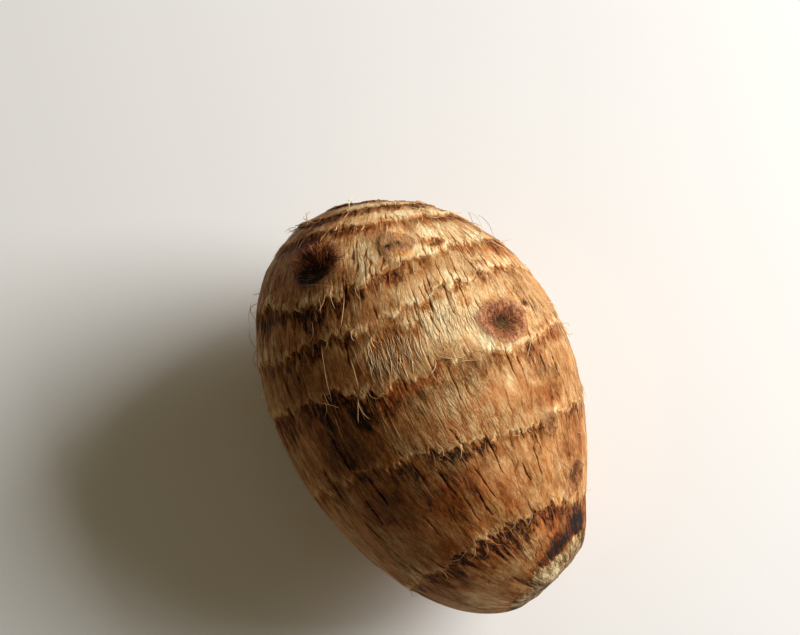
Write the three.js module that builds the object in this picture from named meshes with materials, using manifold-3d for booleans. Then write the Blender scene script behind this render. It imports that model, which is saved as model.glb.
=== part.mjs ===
// Taro corm: one small, egg-shaped cormel of Colocasia esculenta, lying on its side.
//
// The corm grew as one piece, so it is one closed solid. Its broad crown end carries the
// tightest leaf rings and the end bud; its narrow end bends aside to the scar where it broke
// from the parent plant. Each leaf ring is a low ledge: the papery husk on its crown side
// stands proud of the skin below it. Side buds sit as rimmed hollows or scaly knobs above
// the rings.
//
// Units are millimetres, +Z is up. The origin is on the surface that the corm lies on, below
// the middle of its bounding box, and +X runs along its length towards the crown.
//
// The skin is a surface of two angles. "turn" goes round the corm's axis: 0 is the upper
// side, +90 degrees the +Y side. "lift" goes from 0 at the crown's tip to the scar's rim, and
// places a section at MIDDLE + HALF_LENGTH * cos(lift) along the axis.
import * as THREE from "three";
import { mergeVertices } from "three/addons/utils/BufferGeometryUtils.js";
import Module from "manifold-3d";

const wasm = await Module();
wasm.setup();

const DEG = Math.PI / 180;

// Body: an egg whose axis bends towards the scar.
const HALF_LENGTH = 38.9; // of the uncut egg, along its axis
const MIDDLE = 37.8; // from the axis's start at the scar to the egg's middle
const HALF_GIRTH = 30.2; // half-width at the egg's middle
const EGG_TAPER = 0.07; // makes the crown end broader than the scar end
const EGG_FULLNESS = 0.09; // fills out both ends
const AXIS_LENGTH = MIDDLE + HALF_LENGTH;
const BEND = 30.0; // sideways offset of the axis's start, at the scar
const SECTION_TURN = 47 * DEG; // how far the sections turn with the bend, at the scar
const SECTION_TURN_POWER = 1.3;
const FLATTENING = 0.94; // height of a section over its width

// Husk: a ring's place along the axis is at + tilt * sin(turn) + sway * sin(2 * turn), and its
// ledge is how far the husk on its crown side stands out.
const RINGS = [
  { at: 9.4, tilt: 4.2, sway: 0.2, ledge: 0.55 },
  { at: 25.6, tilt: 4.6, sway: 0.2, ledge: 0.4 },
  { at: 39.2, tilt: 1.5, sway: 0.6, ledge: 0.45 },
  { at: 52.6, tilt: -3.6, sway: 0.4, ledge: 0.5 },
  { at: 59.8, tilt: -3.6, sway: -0.8, ledge: 0.55 },
  { at: 69.2, tilt: -0.8, sway: 0.2, ledge: 0.6 },
  { at: 72.6, tilt: -0.8, sway: 0.1, ledge: 0.55 },
  { at: 74.6, tilt: -0.2, sway: 0.0, ledge: 0.4 },
  { at: 76.2, tilt: 0.0, sway: 0.0, ledge: 0.4 },
];
const LEDGE_FADE = 0.3; // share of the way to the next ring over which a ledge dies out
const LEDGE_WIDTH = 0.25; // of the ledge's own steep face

// Side buds: place along the axis and round it in degrees, radius, and how far the rim and
// the middle stand out. A middle below zero is a hollow.
const BUDS = [
  { at: 62.6, turn: 33, radius: 5.8, rim: 0.6, middle: -2.0 },
  { at: 64.1, turn: -5, radius: 4.0, rim: 0.5, middle: 0.8 },
  { at: 63.7, turn: -22, radius: 2.2, rim: 0.2, middle: -0.8 },
  { at: 44.0, turn: -37, radius: 6.0, rim: 0.7, middle: -1.2 },
  { at: 37.0, turn: -19, radius: 3.6, rim: 0.4, middle: 0.7 },
  { at: 20.0, turn: -40, radius: 3.2, rim: 0.6, middle: 0.4 },
  { at: 8.9, turn: -51, radius: 4.0, rim: 0.5, middle: -0.6 },
  { at: 50.0, turn: 128, radius: 5.2, rim: 0.9, middle: -1.1 },
  { at: 24.0, turn: 112, radius: 3.8, rim: 0.6, middle: 0.9 },
  { at: 58.5, turn: -122, radius: 4.6, rim: 0.8, middle: -1.0 },
  { at: 30.0, turn: -138, radius: 3.8, rim: 0.7, middle: -0.6 },
];

// Crown: the tip is sunk inside the smallest rings, and a small end bud fills its middle.
const CROWN_HOLLOW = 1.5;
const CROWN_HOLLOW_RADIUS = 8.0;
const END_BUD_HEIGHT = 1.9;
const END_BUD_RADIUS = 3.6;

// Scar: a nearly flat, round break with a raised rim and a middle that mounds a little.
const SCAR_AT = 0.3;
const SCAR_LIP = 1.9; // how far the rim stands out, most on the -Y side
const SCAR_LIP_FADE = 3.0;
const SCAR_MOUND = 0.9;

// Rest: the corm lies where its weight balances, on a side pressed flat as it grew.
const REST_PITCH = 3.5 * DEG; // lifts the crown end
const LENGTHWISE = -21.5 * DEG; // turns the longest way onto X
const PRESSED_FLAT = 0.8; // how much of the round underside the flat takes away

// Mesh: faces round the corm, the spacing of the rows between two rings, and the scar's rows.
const FACES_ROUND = 96;
const ROW_SPACING = 2.2;
const SCAR_ROWS = 3;

const smooth = (x) => {
  const t = Math.min(1, Math.max(0, x));
  return t * t * (3 - 2 * t);
};

const bump = (x) => smooth(1 - Math.abs(x));

const sectionAt = (lift) => MIDDLE + HALF_LENGTH * Math.cos(lift);
const liftAt = (along) => Math.acos(Math.min(1, (along - MIDDLE) / HALF_LENGTH));

// The axis's point, and the section's outward and endward directions, at a lift and a turn.
function sectionFrame(lift, turn) {
  const toScar = 1 - sectionAt(lift) / AXIS_LENGTH;
  const swing = SECTION_TURN * toScar ** SECTION_TURN_POWER;
  const side = new THREE.Vector3(-Math.sin(swing), Math.cos(swing), 0);
  return {
    centre: new THREE.Vector3(sectionAt(lift), -BEND * toScar ** 2, 0),
    outward: side.multiplyScalar(Math.sin(turn)).add(
      new THREE.Vector3(0, 0, FLATTENING * Math.cos(turn)),
    ),
    endward: new THREE.Vector3(Math.cos(swing), Math.sin(swing), 0),
  };
}

// A point of the skin, raised off the plain egg by rise.
function skinPoint(lift, turn, rise = 0) {
  const c = Math.cos(lift);
  const s = Math.sin(lift);
  const radius = HALF_GIRTH * s * (1 + EGG_TAPER * c + EGG_FULLNESS * c * c);
  const { centre, outward, endward } = sectionFrame(lift, turn);
  const steep = Math.hypot(HALF_GIRTH * c, HALF_LENGTH * s);
  return centre
    .addScaledVector(outward, radius + (rise * HALF_LENGTH * s) / steep)
    .addScaledVector(endward, (rise * HALF_GIRTH * c) / steep);
}

const ringLift = (ring, turn) =>
  liftAt(ring.at + ring.tilt * Math.sin(turn) + ring.sway * Math.sin(2 * turn));

// How far the scar's rim stands out at a place along the axis, most on the -Y side.
function scarLip(lift, turn) {
  const fromScar = (sectionAt(lift) - SCAR_AT) / SCAR_LIP_FADE;
  return SCAR_LIP * (0.6 - 0.4 * Math.sin(turn)) * Math.exp(-fromScar * fromScar);
}

// How far the buds stand out at a point of the plain egg. A bud's rim is a ring at 0.6 of its
// radius, and its middle lies within that.
const BUD_CENTRES = BUDS.map((bud) => skinPoint(liftAt(bud.at), bud.turn * DEG));

function budRise(point) {
  let rise = 0;
  BUDS.forEach((bud, i) => {
    const away = point.distanceTo(BUD_CENTRES[i]) / bud.radius;
    rise += bud.rim * bump((away - 0.6) / 0.5) + bud.middle * bump(away / 0.7);
  });
  return rise;
}

const TIP = skinPoint(0, 0);

function crownRise(point) {
  const away = point.distanceTo(TIP);
  const sunk = CROWN_HOLLOW * smooth((CROWN_HOLLOW_RADIUS - away) / 3);
  return END_BUD_HEIGHT * bump(away / END_BUD_RADIUS) - sunk;
}

// The rows of a column of the skin, from the crown's tip to the scar's rim: each has the lift
// and how far the husk stands out there. A ring takes two rows, above and below its ledge.
const STOPS = [...RINGS].reverse();
STOPS.push({ at: SCAR_AT, tilt: 0, sway: 0, ledge: 0 });

function columnRows(turn) {
  const rows = [];
  let from = 0;
  let rowsTaken = liftAt(AXIS_LENGTH);
  for (const stop of STOPS) {
    const lift = ringLift(stop, turn);
    const count = Math.max(2, Math.round(((liftAt(stop.at) - rowsTaken) * HALF_LENGTH) / ROW_SPACING));
    for (let i = 1; i <= count; i++) {
      const share = i / count;
      const husk = smooth(1 - (1 - share) / LEDGE_FADE);
      rows.push({ lift: from + (lift - from) * share, husk: stop.ledge * husk });
    }
    from = lift;
    rowsTaken = liftAt(stop.at);
    if (stop.ledge > 0) {
      from += LEDGE_WIDTH / HALF_LENGTH;
      rows.push({ lift: from, husk: 0 });
    }
  }
  return rows;
}

// One column of points, from the crown to the scar's middle.
function buildColumn(turn) {
  const column = columnRows(turn).map(({ lift, husk }) => {
    const plain = skinPoint(lift, turn);
    const rise = husk + budRise(plain) + crownRise(plain) + scarLip(lift, turn);
    return skinPoint(lift, turn, rise);
  });
  const rim = column[column.length - 1];
  for (let row = 1; row < SCAR_ROWS; row++) {
    column.push(scarPoint(rim, row / SCAR_ROWS));
  }
  return column;
}

// A point of the scar, part of the way in from its rim to its middle.
function scarPoint(rim, share) {
  const { centre, endward } = sectionFrame(liftAt(SCAR_AT), 0);
  const mound = SCAR_MOUND * (1 - (1 - share) ** 2);
  return rim.clone().lerp(centre, share).addScaledVector(endward, -mound);
}

function buildSkin() {
  const columns = [];
  for (let i = 0; i < FACES_ROUND; i++) {
    columns.push(buildColumn((i / FACES_ROUND) * 2 * Math.PI));
  }
  const rowCount = columns[0].length;
  const tip = TIP.clone().addScaledVector(sectionFrame(0, 0).endward, crownRise(TIP));
  const points = [tip, ...columns.flat(), scarPoint(TIP, 1)];

  const crown = 0;
  const scar = points.length - 1;
  const at = (column, row) => 1 + (column % FACES_ROUND) * rowCount + row;
  const faces = [];
  for (let c = 0; c < FACES_ROUND; c++) {
    faces.push(crown, at(c + 1, 0), at(c, 0));
    for (let r = 0; r + 1 < rowCount; r++) {
      faces.push(at(c, r), at(c + 1, r), at(c + 1, r + 1));
      faces.push(at(c, r), at(c + 1, r + 1), at(c, r + 1));
    }
    faces.push(scar, at(c, rowCount - 1), at(c + 1, rowCount - 1));
  }
  const geometry = new THREE.BufferGeometry().setFromPoints(points);
  geometry.setIndex(faces);
  return geometry;
}

// Turns the corm into the way it lies, and moves its lowest point PRESSED_FLAT below z = 0.
function layDown(geometry) {
  geometry.rotateY(-REST_PITCH);
  geometry.rotateZ(LENGTHWISE);
  geometry.computeBoundingBox();
  const { min, max } = geometry.boundingBox;
  geometry.translate(-(min.x + max.x) / 2, -(min.y + max.y) / 2, -min.z - PRESSED_FLAT);
  return geometry;
}

// A closed geometry as a manifold-3d solid.
function toSolid(geometry) {
  const bare = geometry.clone();
  bare.deleteAttribute("normal");
  bare.deleteAttribute("uv");
  const merged = mergeVertices(bare, 1e-4);
  return new wasm.Manifold(
    new wasm.Mesh({
      numProp: 3,
      vertProperties: merged.attributes.position.array,
      triVerts: new Uint32Array(merged.index.array),
    }),
  );
}

function toGeometry(solid) {
  const mesh = solid.getMesh();
  return new THREE.BufferGeometry()
    .setAttribute("position", new THREE.BufferAttribute(new Float32Array(mesh.vertProperties), 3))
    .setIndex(new THREE.BufferAttribute(new Uint32Array(mesh.triVerts), 1));
}

// The underside below z = 0 is pressed flat.
function pressFlat(geometry) {
  const slab = new THREE.BoxGeometry(200, 200, 20).translate(0, 0, -10);
  return toGeometry(toSolid(geometry).subtract(toSolid(slab)));
}

const corm = new THREE.Mesh(
  pressFlat(layDown(buildSkin())),
  new THREE.MeshStandardMaterial({ color: 0xa9763f, roughness: 0.8, metalness: 0 }),
);
corm.name = "corm";

const taro = new THREE.Group();
taro.add(corm);

export default taro;
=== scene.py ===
"""A taro corm lying on its side: ringed, fibrous skin, frayed husk, stray hairs and a plain stage.

Places on the corm follow its growth. turn is the angle round the axis, 0 on top as it lies and
more towards +Y; along is the place on the axis, from 0 at the scar to the crown's tip; arc is
the distance over the skin from the crown's tip. Lengths are in millimetres until place() or MM
turns them into metres.
"""

import math
from types import SimpleNamespace

import bpy
import numpy as np
from mathutils import Matrix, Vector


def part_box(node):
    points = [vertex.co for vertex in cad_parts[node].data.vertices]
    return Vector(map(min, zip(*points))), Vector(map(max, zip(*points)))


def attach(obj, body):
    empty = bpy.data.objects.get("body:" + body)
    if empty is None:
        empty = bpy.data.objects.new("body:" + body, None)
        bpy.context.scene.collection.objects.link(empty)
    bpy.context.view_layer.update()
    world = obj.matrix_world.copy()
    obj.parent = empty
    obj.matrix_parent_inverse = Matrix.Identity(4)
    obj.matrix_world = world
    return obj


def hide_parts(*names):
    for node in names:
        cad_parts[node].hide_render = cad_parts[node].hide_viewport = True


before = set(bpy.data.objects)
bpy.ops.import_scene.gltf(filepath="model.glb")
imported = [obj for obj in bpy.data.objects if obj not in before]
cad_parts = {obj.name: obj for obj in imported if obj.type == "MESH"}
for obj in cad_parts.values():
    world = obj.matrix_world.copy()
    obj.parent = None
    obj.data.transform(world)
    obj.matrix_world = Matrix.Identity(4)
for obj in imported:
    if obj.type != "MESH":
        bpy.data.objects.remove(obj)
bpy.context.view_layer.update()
CORM_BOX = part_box("corm")

bl_info = {
    "name": "Taro Corm",
    "version": (1, 0, 0),
    "blender": (4, 5, 0),
    "location": "View3D > Sidebar > Taro",
    "description": "Dresses the packed corm in its skin, husk fibres and hairs, and sets a plain stage",
    "category": "Add Mesh",
}

MM = 0.001
FULL_TURN = 2 * math.pi

# The egg that the corm grew as: the same shape as the solid's. The axis bends towards the scar
# and the sections turn with it; the scar has a lip and a mound.
HALF_LENGTH = 38.9
MIDDLE = 37.8
HALF_GIRTH = 30.2
EGG_TAPER = 0.07
EGG_FULLNESS = 0.09
AXIS_LENGTH = MIDDLE + HALF_LENGTH
BEND = 30.0
SECTION_TURN = math.radians(47)
SECTION_TURN_POWER = 1.3
FLATTENING = 0.94
SCAR_AT = 0.3
SCAR_LIP = 1.9
SCAR_LIP_FADE = 3.0
SCAR_MOUND = 0.9
REST_PITCH = math.radians(3.5)
LENGTHWISE = math.radians(-21.5)

# The scar's look, by turn in degrees: how far along the axis its corky tissue reaches, how pale
# that is, and how dark the burnt-looking rim round it is.
SCAR_EDGE = (
    (-60, 1.6), (-30, 1.9), (-10, 2.2), (3, 2.9), (17, 3.0), (23, 1.5), (60, 1.3), (180, 1.8),
)
SCAR_TONES = (
    (-60, 0.12), (-45, 0.18), (-30, 0.42), (-15, 0.48), (10, 0.35), (50, 0.32), (180, 0.30),
)
SCAR_RIM = ((-100, 1.0), (-50, 1.3), (-10, 1.3), (8, 0.8), (25, 0.0), (70, -0.2), (120, 0.6))

# Leaf rings, from the crown to the scar. "edge" is where the husk's ragged edge runs, as
# (turn in degrees, place along the axis); "bold" is how dark the bare band past the edge is, its
# own colour with painted shadow under the ledge, and "tiles" how cracked the husk is before it,
# both by turn; the rest are millimetres.
RINGS = (
    dict(
        edge=((0, 76.2),), bold=((0, 0.7),), tiles=((0, 0.2),),
        ledge=0.35, fade=1.6, lip=0.8, band=1.0, tooth=0.15,
    ),
    dict(
        edge=((-60, 75.9), (0, 75.4), (75, 74.9), (180, 75.3)), bold=((0, 0.8),), tiles=((0, 0.2),),
        ledge=0.35, fade=2.0, lip=1.2, band=1.2, tooth=0.2,
    ),
    dict(
        edge=((-150, 73.6), (-60, 75.0), (-50, 74.7), (-35, 74.0), (-20, 73.4), (-5, 73.3), (10, 73.0),
              (25, 72.7), (40, 72.2), (60, 71.8), (120, 72.4)),
        bold=((-60, 0.7), (-40, 1.1), (0, 1.0), (60, 1.0), (150, 0.8)),
        tiles=((0, 0.15),),
        ledge=0.5, fade=2.5, lip=2.2, band=2.7, tooth=0.3,
    ),
    dict(
        edge=((-130, 69.6), (-60, 71.7), (-50, 71.4), (-35, 70.8), (-20, 70.4), (-5, 69.5), (10, 69.0),
              (25, 69.0), (40, 68.6), (60, 68.0), (90, 67.8), (150, 68.6)),
        bold=((-110, 0.8), (-60, 0.8), (-50, 1.3), (-20, 0.8), (0, 0.7), (14, 0.9), (40, 1.0),
              (120, 0.9)),
        tiles=((-60, 0.4), (-20, 0.2), (40, 0.2), (180, 0.3)),
        ledge=0.45, fade=3.0, lip=2.6, band=2.9, tooth=0.45,
    ),
    dict(
        edge=((-130, 62.5), (-90, 64.4), (-60, 65.0), (-50, 64.4), (-35, 63.3), (-20, 61.7), (-5, 59.7),
              (10, 58.3), (20, 56.7), (28, 56.0), (40, 56.0), (60, 57.5), (110, 58.5), (160, 60.5)),
        bold=((-130, 0.8), (-50, 0.8), (-35, 0.6), (-24, 0.15), (-17, 0.2), (-9, 1.1), (0, 1.1),
              (10, 0.9), (25, 1.2), (70, 1.5), (120, 0.9)),
        tiles=((-90, 0.8), (-40, 0.9), (0, 0.9), (25, 0.8), (60, 0.5), (160, 0.6)),
        ledge=0.5, fade=3.5, lip=2.6, band=4.2, tooth=0.9,
    ),
    dict(
        edge=((-140, 53.5), (-90, 56.0), (-60, 57.4), (-50, 57.2), (-35, 56.0), (-20, 54.0), (-5, 51.8),
              (6, 50.2), (14, 49.5), (40, 49.7), (60, 49.4), (100, 50.0), (150, 51.5)),
        bold=((-120, 0.7), (-60, 0.7), (-35, 0.9), (-20, 0.9), (-5, 0.8), (0, 0.6), (8, 0.1), (17, 0.1),
              (22, 1.2), (60, 1.2), (120, 0.8)),
        tiles=((-90, 0.8), (-45, 1.0), (-5, 1.0), (6, 0.3), (20, 0.3), (30, 0.5), (160, 0.5)),
        ledge=0.5, fade=4.0, lip=2.2, band=2.3, tooth=0.95,
    ),
    dict(
        edge=((-120, 46.0), (-20, 46.4), (-5, 47.6), (4, 49.0), (9, 49.2), (14, 48.0), (18, 45.6),
              (24, 44.8), (90, 45.5), (180, 46.0)),
        bold=((-60, 0.0), (-12, 0.0), (-6, 0.5), (9, 0.6), (17, 0.6), (21, 0.0), (90, 0.0), (130, 0.3),
              (180, 0.4)),
        tiles=((0, 0.2),),
        ledge=0.4, fade=2.5, lip=1.2, band=3.4, tooth=0.4,
    ),
    dict(
        edge=((-140, 38.0), (-90, 41.0), (-60, 41.0), (-50, 38.8), (-35, 37.4), (-20, 39.2), (-5, 39.4),
              (10, 38.8), (25, 39.8), (40, 41.4), (60, 42.0), (100, 42.0), (150, 39.5)),
        bold=((-120, 0.6), (-60, 0.6), (-30, 0.5), (-20, 0.9), (-8, 0.6), (5, 0.5), (14, 0.5), (22, 0.9),
              (40, 0.9), (70, 1.1), (130, 0.7)),
        tiles=((-60, 0.5), (-25, 0.4), (10, 0.3), (60, 0.2), (160, 0.3)),
        ledge=0.35, fade=4.0, lip=1.8, band=4.8, tooth=1.0,
    ),
    dict(
        edge=((-140, 25.5), (-90, 22.0), (-60, 20.8), (-35, 20.9), (-20, 22.7), (-5, 24.7), (10, 26.0),
              (25, 28.3), (40, 28.9), (60, 29.5), (90, 29.8), (150, 28.0)),
        bold=((-120, 0.7), (-60, 0.9), (-35, 0.6), (-20, 0.5), (-5, 0.8), (12, 0.7), (25, 0.3), (50, 0.4),
              (130, 0.6)),
        tiles=((-60, 0.2), (-20, 0.0), (30, 0.0), (160, 0.3)),
        ledge=0.35, fade=4.0, lip=0.8, band=3.0, tooth=1.1,
    ),
    dict(
        edge=((-140, 7.5), (-90, 5.4), (-60, 4.8), (-50, 5.2), (-35, 6.9), (-20, 8.7), (-5, 10.0),
              (10, 10.7), (25, 11.8), (40, 12.2), (60, 12.8), (100, 13.0), (150, 10.5)),
        bold=((-120, 0.7), (-60, 0.7), (-35, 0.8), (0, 1.2), (40, 1.1), (70, 0.7), (120, 0.8)),
        tiles=((0, 0.15),),
        ledge=0.5, fade=4.0, lip=2.2, band=4.4, tooth=0.85,
    ),
)

# The husk's torn edge: how wide its own steep face is, how far a tile reaches past the next, how
# wide the step between two tiles is, the spacing and height of the two sizes of teeth, how far
# the edge strays round the back, and how many places a ring has for a crack.
LEDGE_WIDTH = 0.22
TILE_REACH = 0.75
TILE_STEP = 0.22
TEETH = ((1.5, 0.55), (0.6, 0.45))
BACK_STRAY = 0.9
CRACKS_PER_RING = 84

# The skin's mesh: the mean spacing of its rows, how much closer its columns lie on top, and how
# many rows the scar's face has.
ROW_SPACING = 0.95
CROWDING = 0.25
SCAR_ROWS = 9

# Side buds: turn and place along the axis, half-width and half-length, how far the rim and the
# middle stand out, how strong the open eye's disc, the dark pit (the bud's dark centre with
# painted shade in its hollow) and the pale halo look, and the pit's half-width and its place
# round and along, as shares of the bud's; how many hairs; and whether they are a tangled tuft,
# and not a fringe round the rim.
BUDS = (
    dict(turn=-36.8, at=44.0, size=(6.1, 5.0), rim=0.55, middle=-1.3, disc=1.0, pit=0.85, halo=0.35,
         hole=(0.34, -0.12, -0.14), hairs=16),
    dict(turn=33.0, at=62.6, size=(6.2, 4.6), rim=0.4, middle=-2.0, disc=0.6, pit=0.95, halo=0.0,
         hole=(0.80, 0.15, 0.30), hairs=300, tangled=True),
    dict(turn=-5.3, at=64.1, size=(3.7, 3.2), rim=0.4, middle=0.7, disc=0.55, pit=1.0, halo=0.3,
         hole=(0.44, 0.50, 0.22), hairs=10),
    dict(turn=-21.5, at=63.7, size=(2.7, 1.5), rim=0.35, middle=-0.3, disc=0.5, pit=0.3, halo=1.0,
         hole=(0.4, 0.0, 0.0), hairs=4),
    dict(turn=-51.6, at=47.1, size=(1.3, 1.2), rim=0.1, middle=-0.35, disc=0.8, pit=0.6, halo=0.0,
         hole=(0.5, 0.0, 0.0), hairs=4),
    dict(turn=-19.0, at=37.0, size=(3.4, 2.6), rim=0.3, middle=0.6, disc=0.1, pit=0.0, halo=0.0,
         hole=(0.5, 0.0, 0.0), hairs=12),
    dict(turn=-39.7, at=20.0, size=(2.6, 2.4), rim=0.5, middle=0.3, disc=0.4, pit=0.6, halo=0.1,
         hole=(0.35, 0.0, 0.0), hairs=8),
    dict(turn=-51.0, at=8.9, size=(4.0, 3.0), rim=0.5, middle=-0.6, disc=0.5, pit=0.5, halo=0.0,
         hole=(0.5, 0.0, 0.0), hairs=20),
    dict(turn=128.0, at=50.0, size=(5.4, 4.6), rim=0.55, middle=-1.1, disc=1.0, pit=0.7, halo=0.4,
         hole=(0.4, 0.0, -0.1), hairs=30),
    dict(turn=112.0, at=24.0, size=(3.8, 3.2), rim=0.4, middle=0.8, disc=0.5, pit=0.0, halo=0.2,
         hole=(0.5, 0.0, 0.0), hairs=10),
    dict(turn=-122.0, at=58.5, size=(4.6, 4.0), rim=0.5, middle=-1.1, disc=0.8, pit=0.9, halo=0.3,
         hole=(0.5, 0.0, 0.0), hairs=90),
    dict(turn=-138.0, at=30.0, size=(4.0, 3.4), rim=0.4, middle=-0.7, disc=0.9, pit=0.6, halo=0.3,
         hole=(0.5, 0.0, 0.0), hairs=30),
)

# Patches of skin, more or less from the crown to the scar: turn, place along the axis, half-width
# in degrees, half-length along the axis, and how much paler (below zero, darker), redder, greyer
# and more fibrous they are. What a row leaves out is zero.
PATCHES = (
    (-8, 71.2, 22, 1.0, 0.42, 0.0, 0.0, -0.3), (14, 69.0, 30, 4.4, 0.12, 0.4),
    (-64, 68.0, 14, 6.0, -0.14), (12, 70.4, 16, 1.3, 0.34, 0.0, 0.0, -0.2),
    (-42, 72.0, 14, 0.9, 0.24, 0.0, 0.0, -0.2), (16, 73.8, 24, 0.8, 0.6, 0.0, 0.0, -0.2),
    (-14, 74.2, 14, 0.7, 0.34, 0.0, 0.0, -0.2), (-30, 69.8, 16, 0.9, -0.14, 0.3, 0.2),
    (-50, 61.4, 9, 1.5, 0.12), (-36, 59.0, 7, 1.2, -0.16),
    (-45, 66.2, 20, 2.6, 0.28, 0.0, 0.0, -0.2), (-22, 66.0, 8, 1.8, 0.6, 0.0, 0.1),
    (-5, 66.8, 5, 1.2, 0.3), (-5.3, 64.0, 7, 3.0, 0.74, 1.0), (-9, 64.8, 4, 1.0, 0.14),
    (-14, 62.0, 9, 1.2, 0.34), (-19, 62.9, 5, 0.7, 0.4), (-21.5, 63.7, 5, 1.4, 0.16, 0.9),
    (11, 63.0, 8, 4.8, 0.4, 0.0, 0.0, -0.3), (26, 67.0, 8, 1.3, 0.16), (25, 57.4, 6, 1.2, 0.3),
    (26, 70.0, 7, 0.8, 0.26), (50, 65.0, 16, 5.0, -0.1), (36, 64.5, 9, 2.6, -0.06, 1.0),
    (-44, 62.0, 20, 1.2, -0.1, 0.5, 0.0, 0.3), (-44, 58.4, 18, 1.8, 0.16),
    (-60, 50.0, 10, 6.0, -0.08, -0.1, 0.1), (-20, 52.6, 9, 2.2, 0.1, 0.1),
    (-20, 56.2, 7, 1.5, 0.4), (-4, 54.4, 8, 1.8, 0.22, 0.0, 0.0, -0.4),
    (12, 53.0, 8, 2.6, 0.1, 0.0, 0.0, -0.4), (-30, 51.5, 9, 2.0, 0.2),
    (-52, 54.8, 10, 1.4, -0.08, 0.3, 0.4), (-50, 57.2, 14, 1.0, -0.12), (-50, 39.2, 8, 1.0, -0.14),
    (16, 47.0, 6, 4.4, 0.16, 0.0, 0.0, -0.5), (7, 45.6, 12, 3.4, -0.02, 0.3, 0.0, 1.2),
    (-15, 46.8, 10, 4.4, 0.42, 0.0, 0.0, 1.2), (-4, 44.2, 7, 2.4, 0.26),
    (-6, 49.2, 6, 1.2, 0.26, 0.0, 0.0, 0.5), (-27, 43.0, 6, 5.0, 0.32), (-50, 42.5, 9, 4.0, 0.02),
    (-38, 38.2, 12, 1.2, 0.14), (-20, 41.0, 7, 1.2, 0.2), (45, 45.0, 20, 3.0, -0.1, 0.0, 0.2),
    (-5, 38.4, 6, 2.0, 0.14), (-61, 40.4, 9, 1.2, -0.2), (-50, 33.0, 6, 3.0, 0.12),
    (10, 37.5, 14, 1.6, 0.12, 0.4), (-19, 36.4, 8, 2.0, -0.1, 0.3, 0.3),
    (-5, 31.8, 8, 1.8, 0.12, 0.0, 0.1, 0.2), (4, 34.6, 17, 2.4, -0.02, 0.0, 0.35, 0.5),
    (-20, 29.6, 12, 3.0, 0.1, 0.1, 0.0, -0.5), (-27, 32.5, 3, 4.0, 0.2, 0.0, 0.0, -0.4),
    (-45, 33.0, 5, 4.0, -0.12, 0.3, 0.3), (-44, 25.2, 14, 2.8, -0.22, 0.2, 0.0, -0.3),
    (-50, 29.4, 7, 2.0, -0.12, 0.2, 0.2), (40, 33.0, 15, 6.5, -0.24, 0.0, 0.1, 0.1),
    (-62, 37.4, 10, 1.3, -0.14, 0.4), (-17, 46.0, 10, 3.0, 0.16), (10, 50.2, 7, 1.2, 0.14, 0.2),
    (56, 5.0, 14, 3.0, 0.22, 0.1), (28, 2.0, 4, 1.4, 0.16), (12, 48.3, 6, 1.1, -0.12),
    (-35, 30.0, 8, 2.4, -0.07), (-50, 22.2, 13, 1.2, 0.1), (-56, 29.0, 12, 7.0, -0.07, -0.2),
    (-36, 20.6, 9, 3.0, -0.09), (-35, 17.2, 8, 1.6, -0.1), (56, 10.0, 13, 5.0, 0.14, 0.2),
    (-12, 14.0, 24, 8.0, -0.04, 0.0, 0.0, -0.6), (30, 45.0, 10, 6.0, 0.02, 0.0, 0.0, -0.8),
    (-22, 56.0, 14, 3.0, 0.0, 0.0, 0.0, -0.5), (32, 34.0, 9, 4.0, 0.02, 0.0, 0.0, -0.5),
    (-38, 20.0, 6, 1.4, -0.1, 0.4), (30, 23.0, 22, 4.5, -0.14, 0.0, 0.1),
    (12, 18.5, 16, 3.6, -0.18, 0.2, 0.0, -0.2), (8, 23.2, 6, 2.2, -0.18, 0.1, 0.2),
    (24, 24.6, 5, 4.0, -0.05, 0.0, 0.2), (-6, 13.0, 9, 3.6, -0.1, 0.2, 0.0, -0.2),
    (-6, 18.4, 8, 1.8, 0.16, 0.0, 0.0, -0.2), (-20, 12.6, 6, 1.8, -0.12),
    (22, 13.0, 22, 1.0, 0.06, 0.3, 0.0, -0.4), (60, 20.0, 14, 10.0, 0.02, 0.0, 0.2),
    (-35, 8.4, 16, 1.0, 0.06, 0.0, 0.0, -0.2), (-57, 15.0, 16, 5.5, -0.24, 0.2, 0.2),
    (-56, 8.2, 10, 1.6, -0.24), (-54, 4.0, 12, 0.8, -0.12), (-6, 4.8, 7, 1.4, -0.22),
    (-52, 1.4, 12, 0.8, -0.3), (-22, 6.6, 16, 1.4, -0.1, 0.5), (-18, 4.6, 18, 1.0, -0.18, 0.3),
    (23.5, 2.2, 1.5, 2.0, -0.5), (-50, 5.0, 12, 2.4, -0.1),
    (14, 5.2, 24, 1.4, 0.06, 0.0, 0.2, 0.2), (58, 5.4, 22, 2.6, 0.26),
    (-25, 2.9, 36, 1.2, -0.36, 0.4),
)

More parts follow.
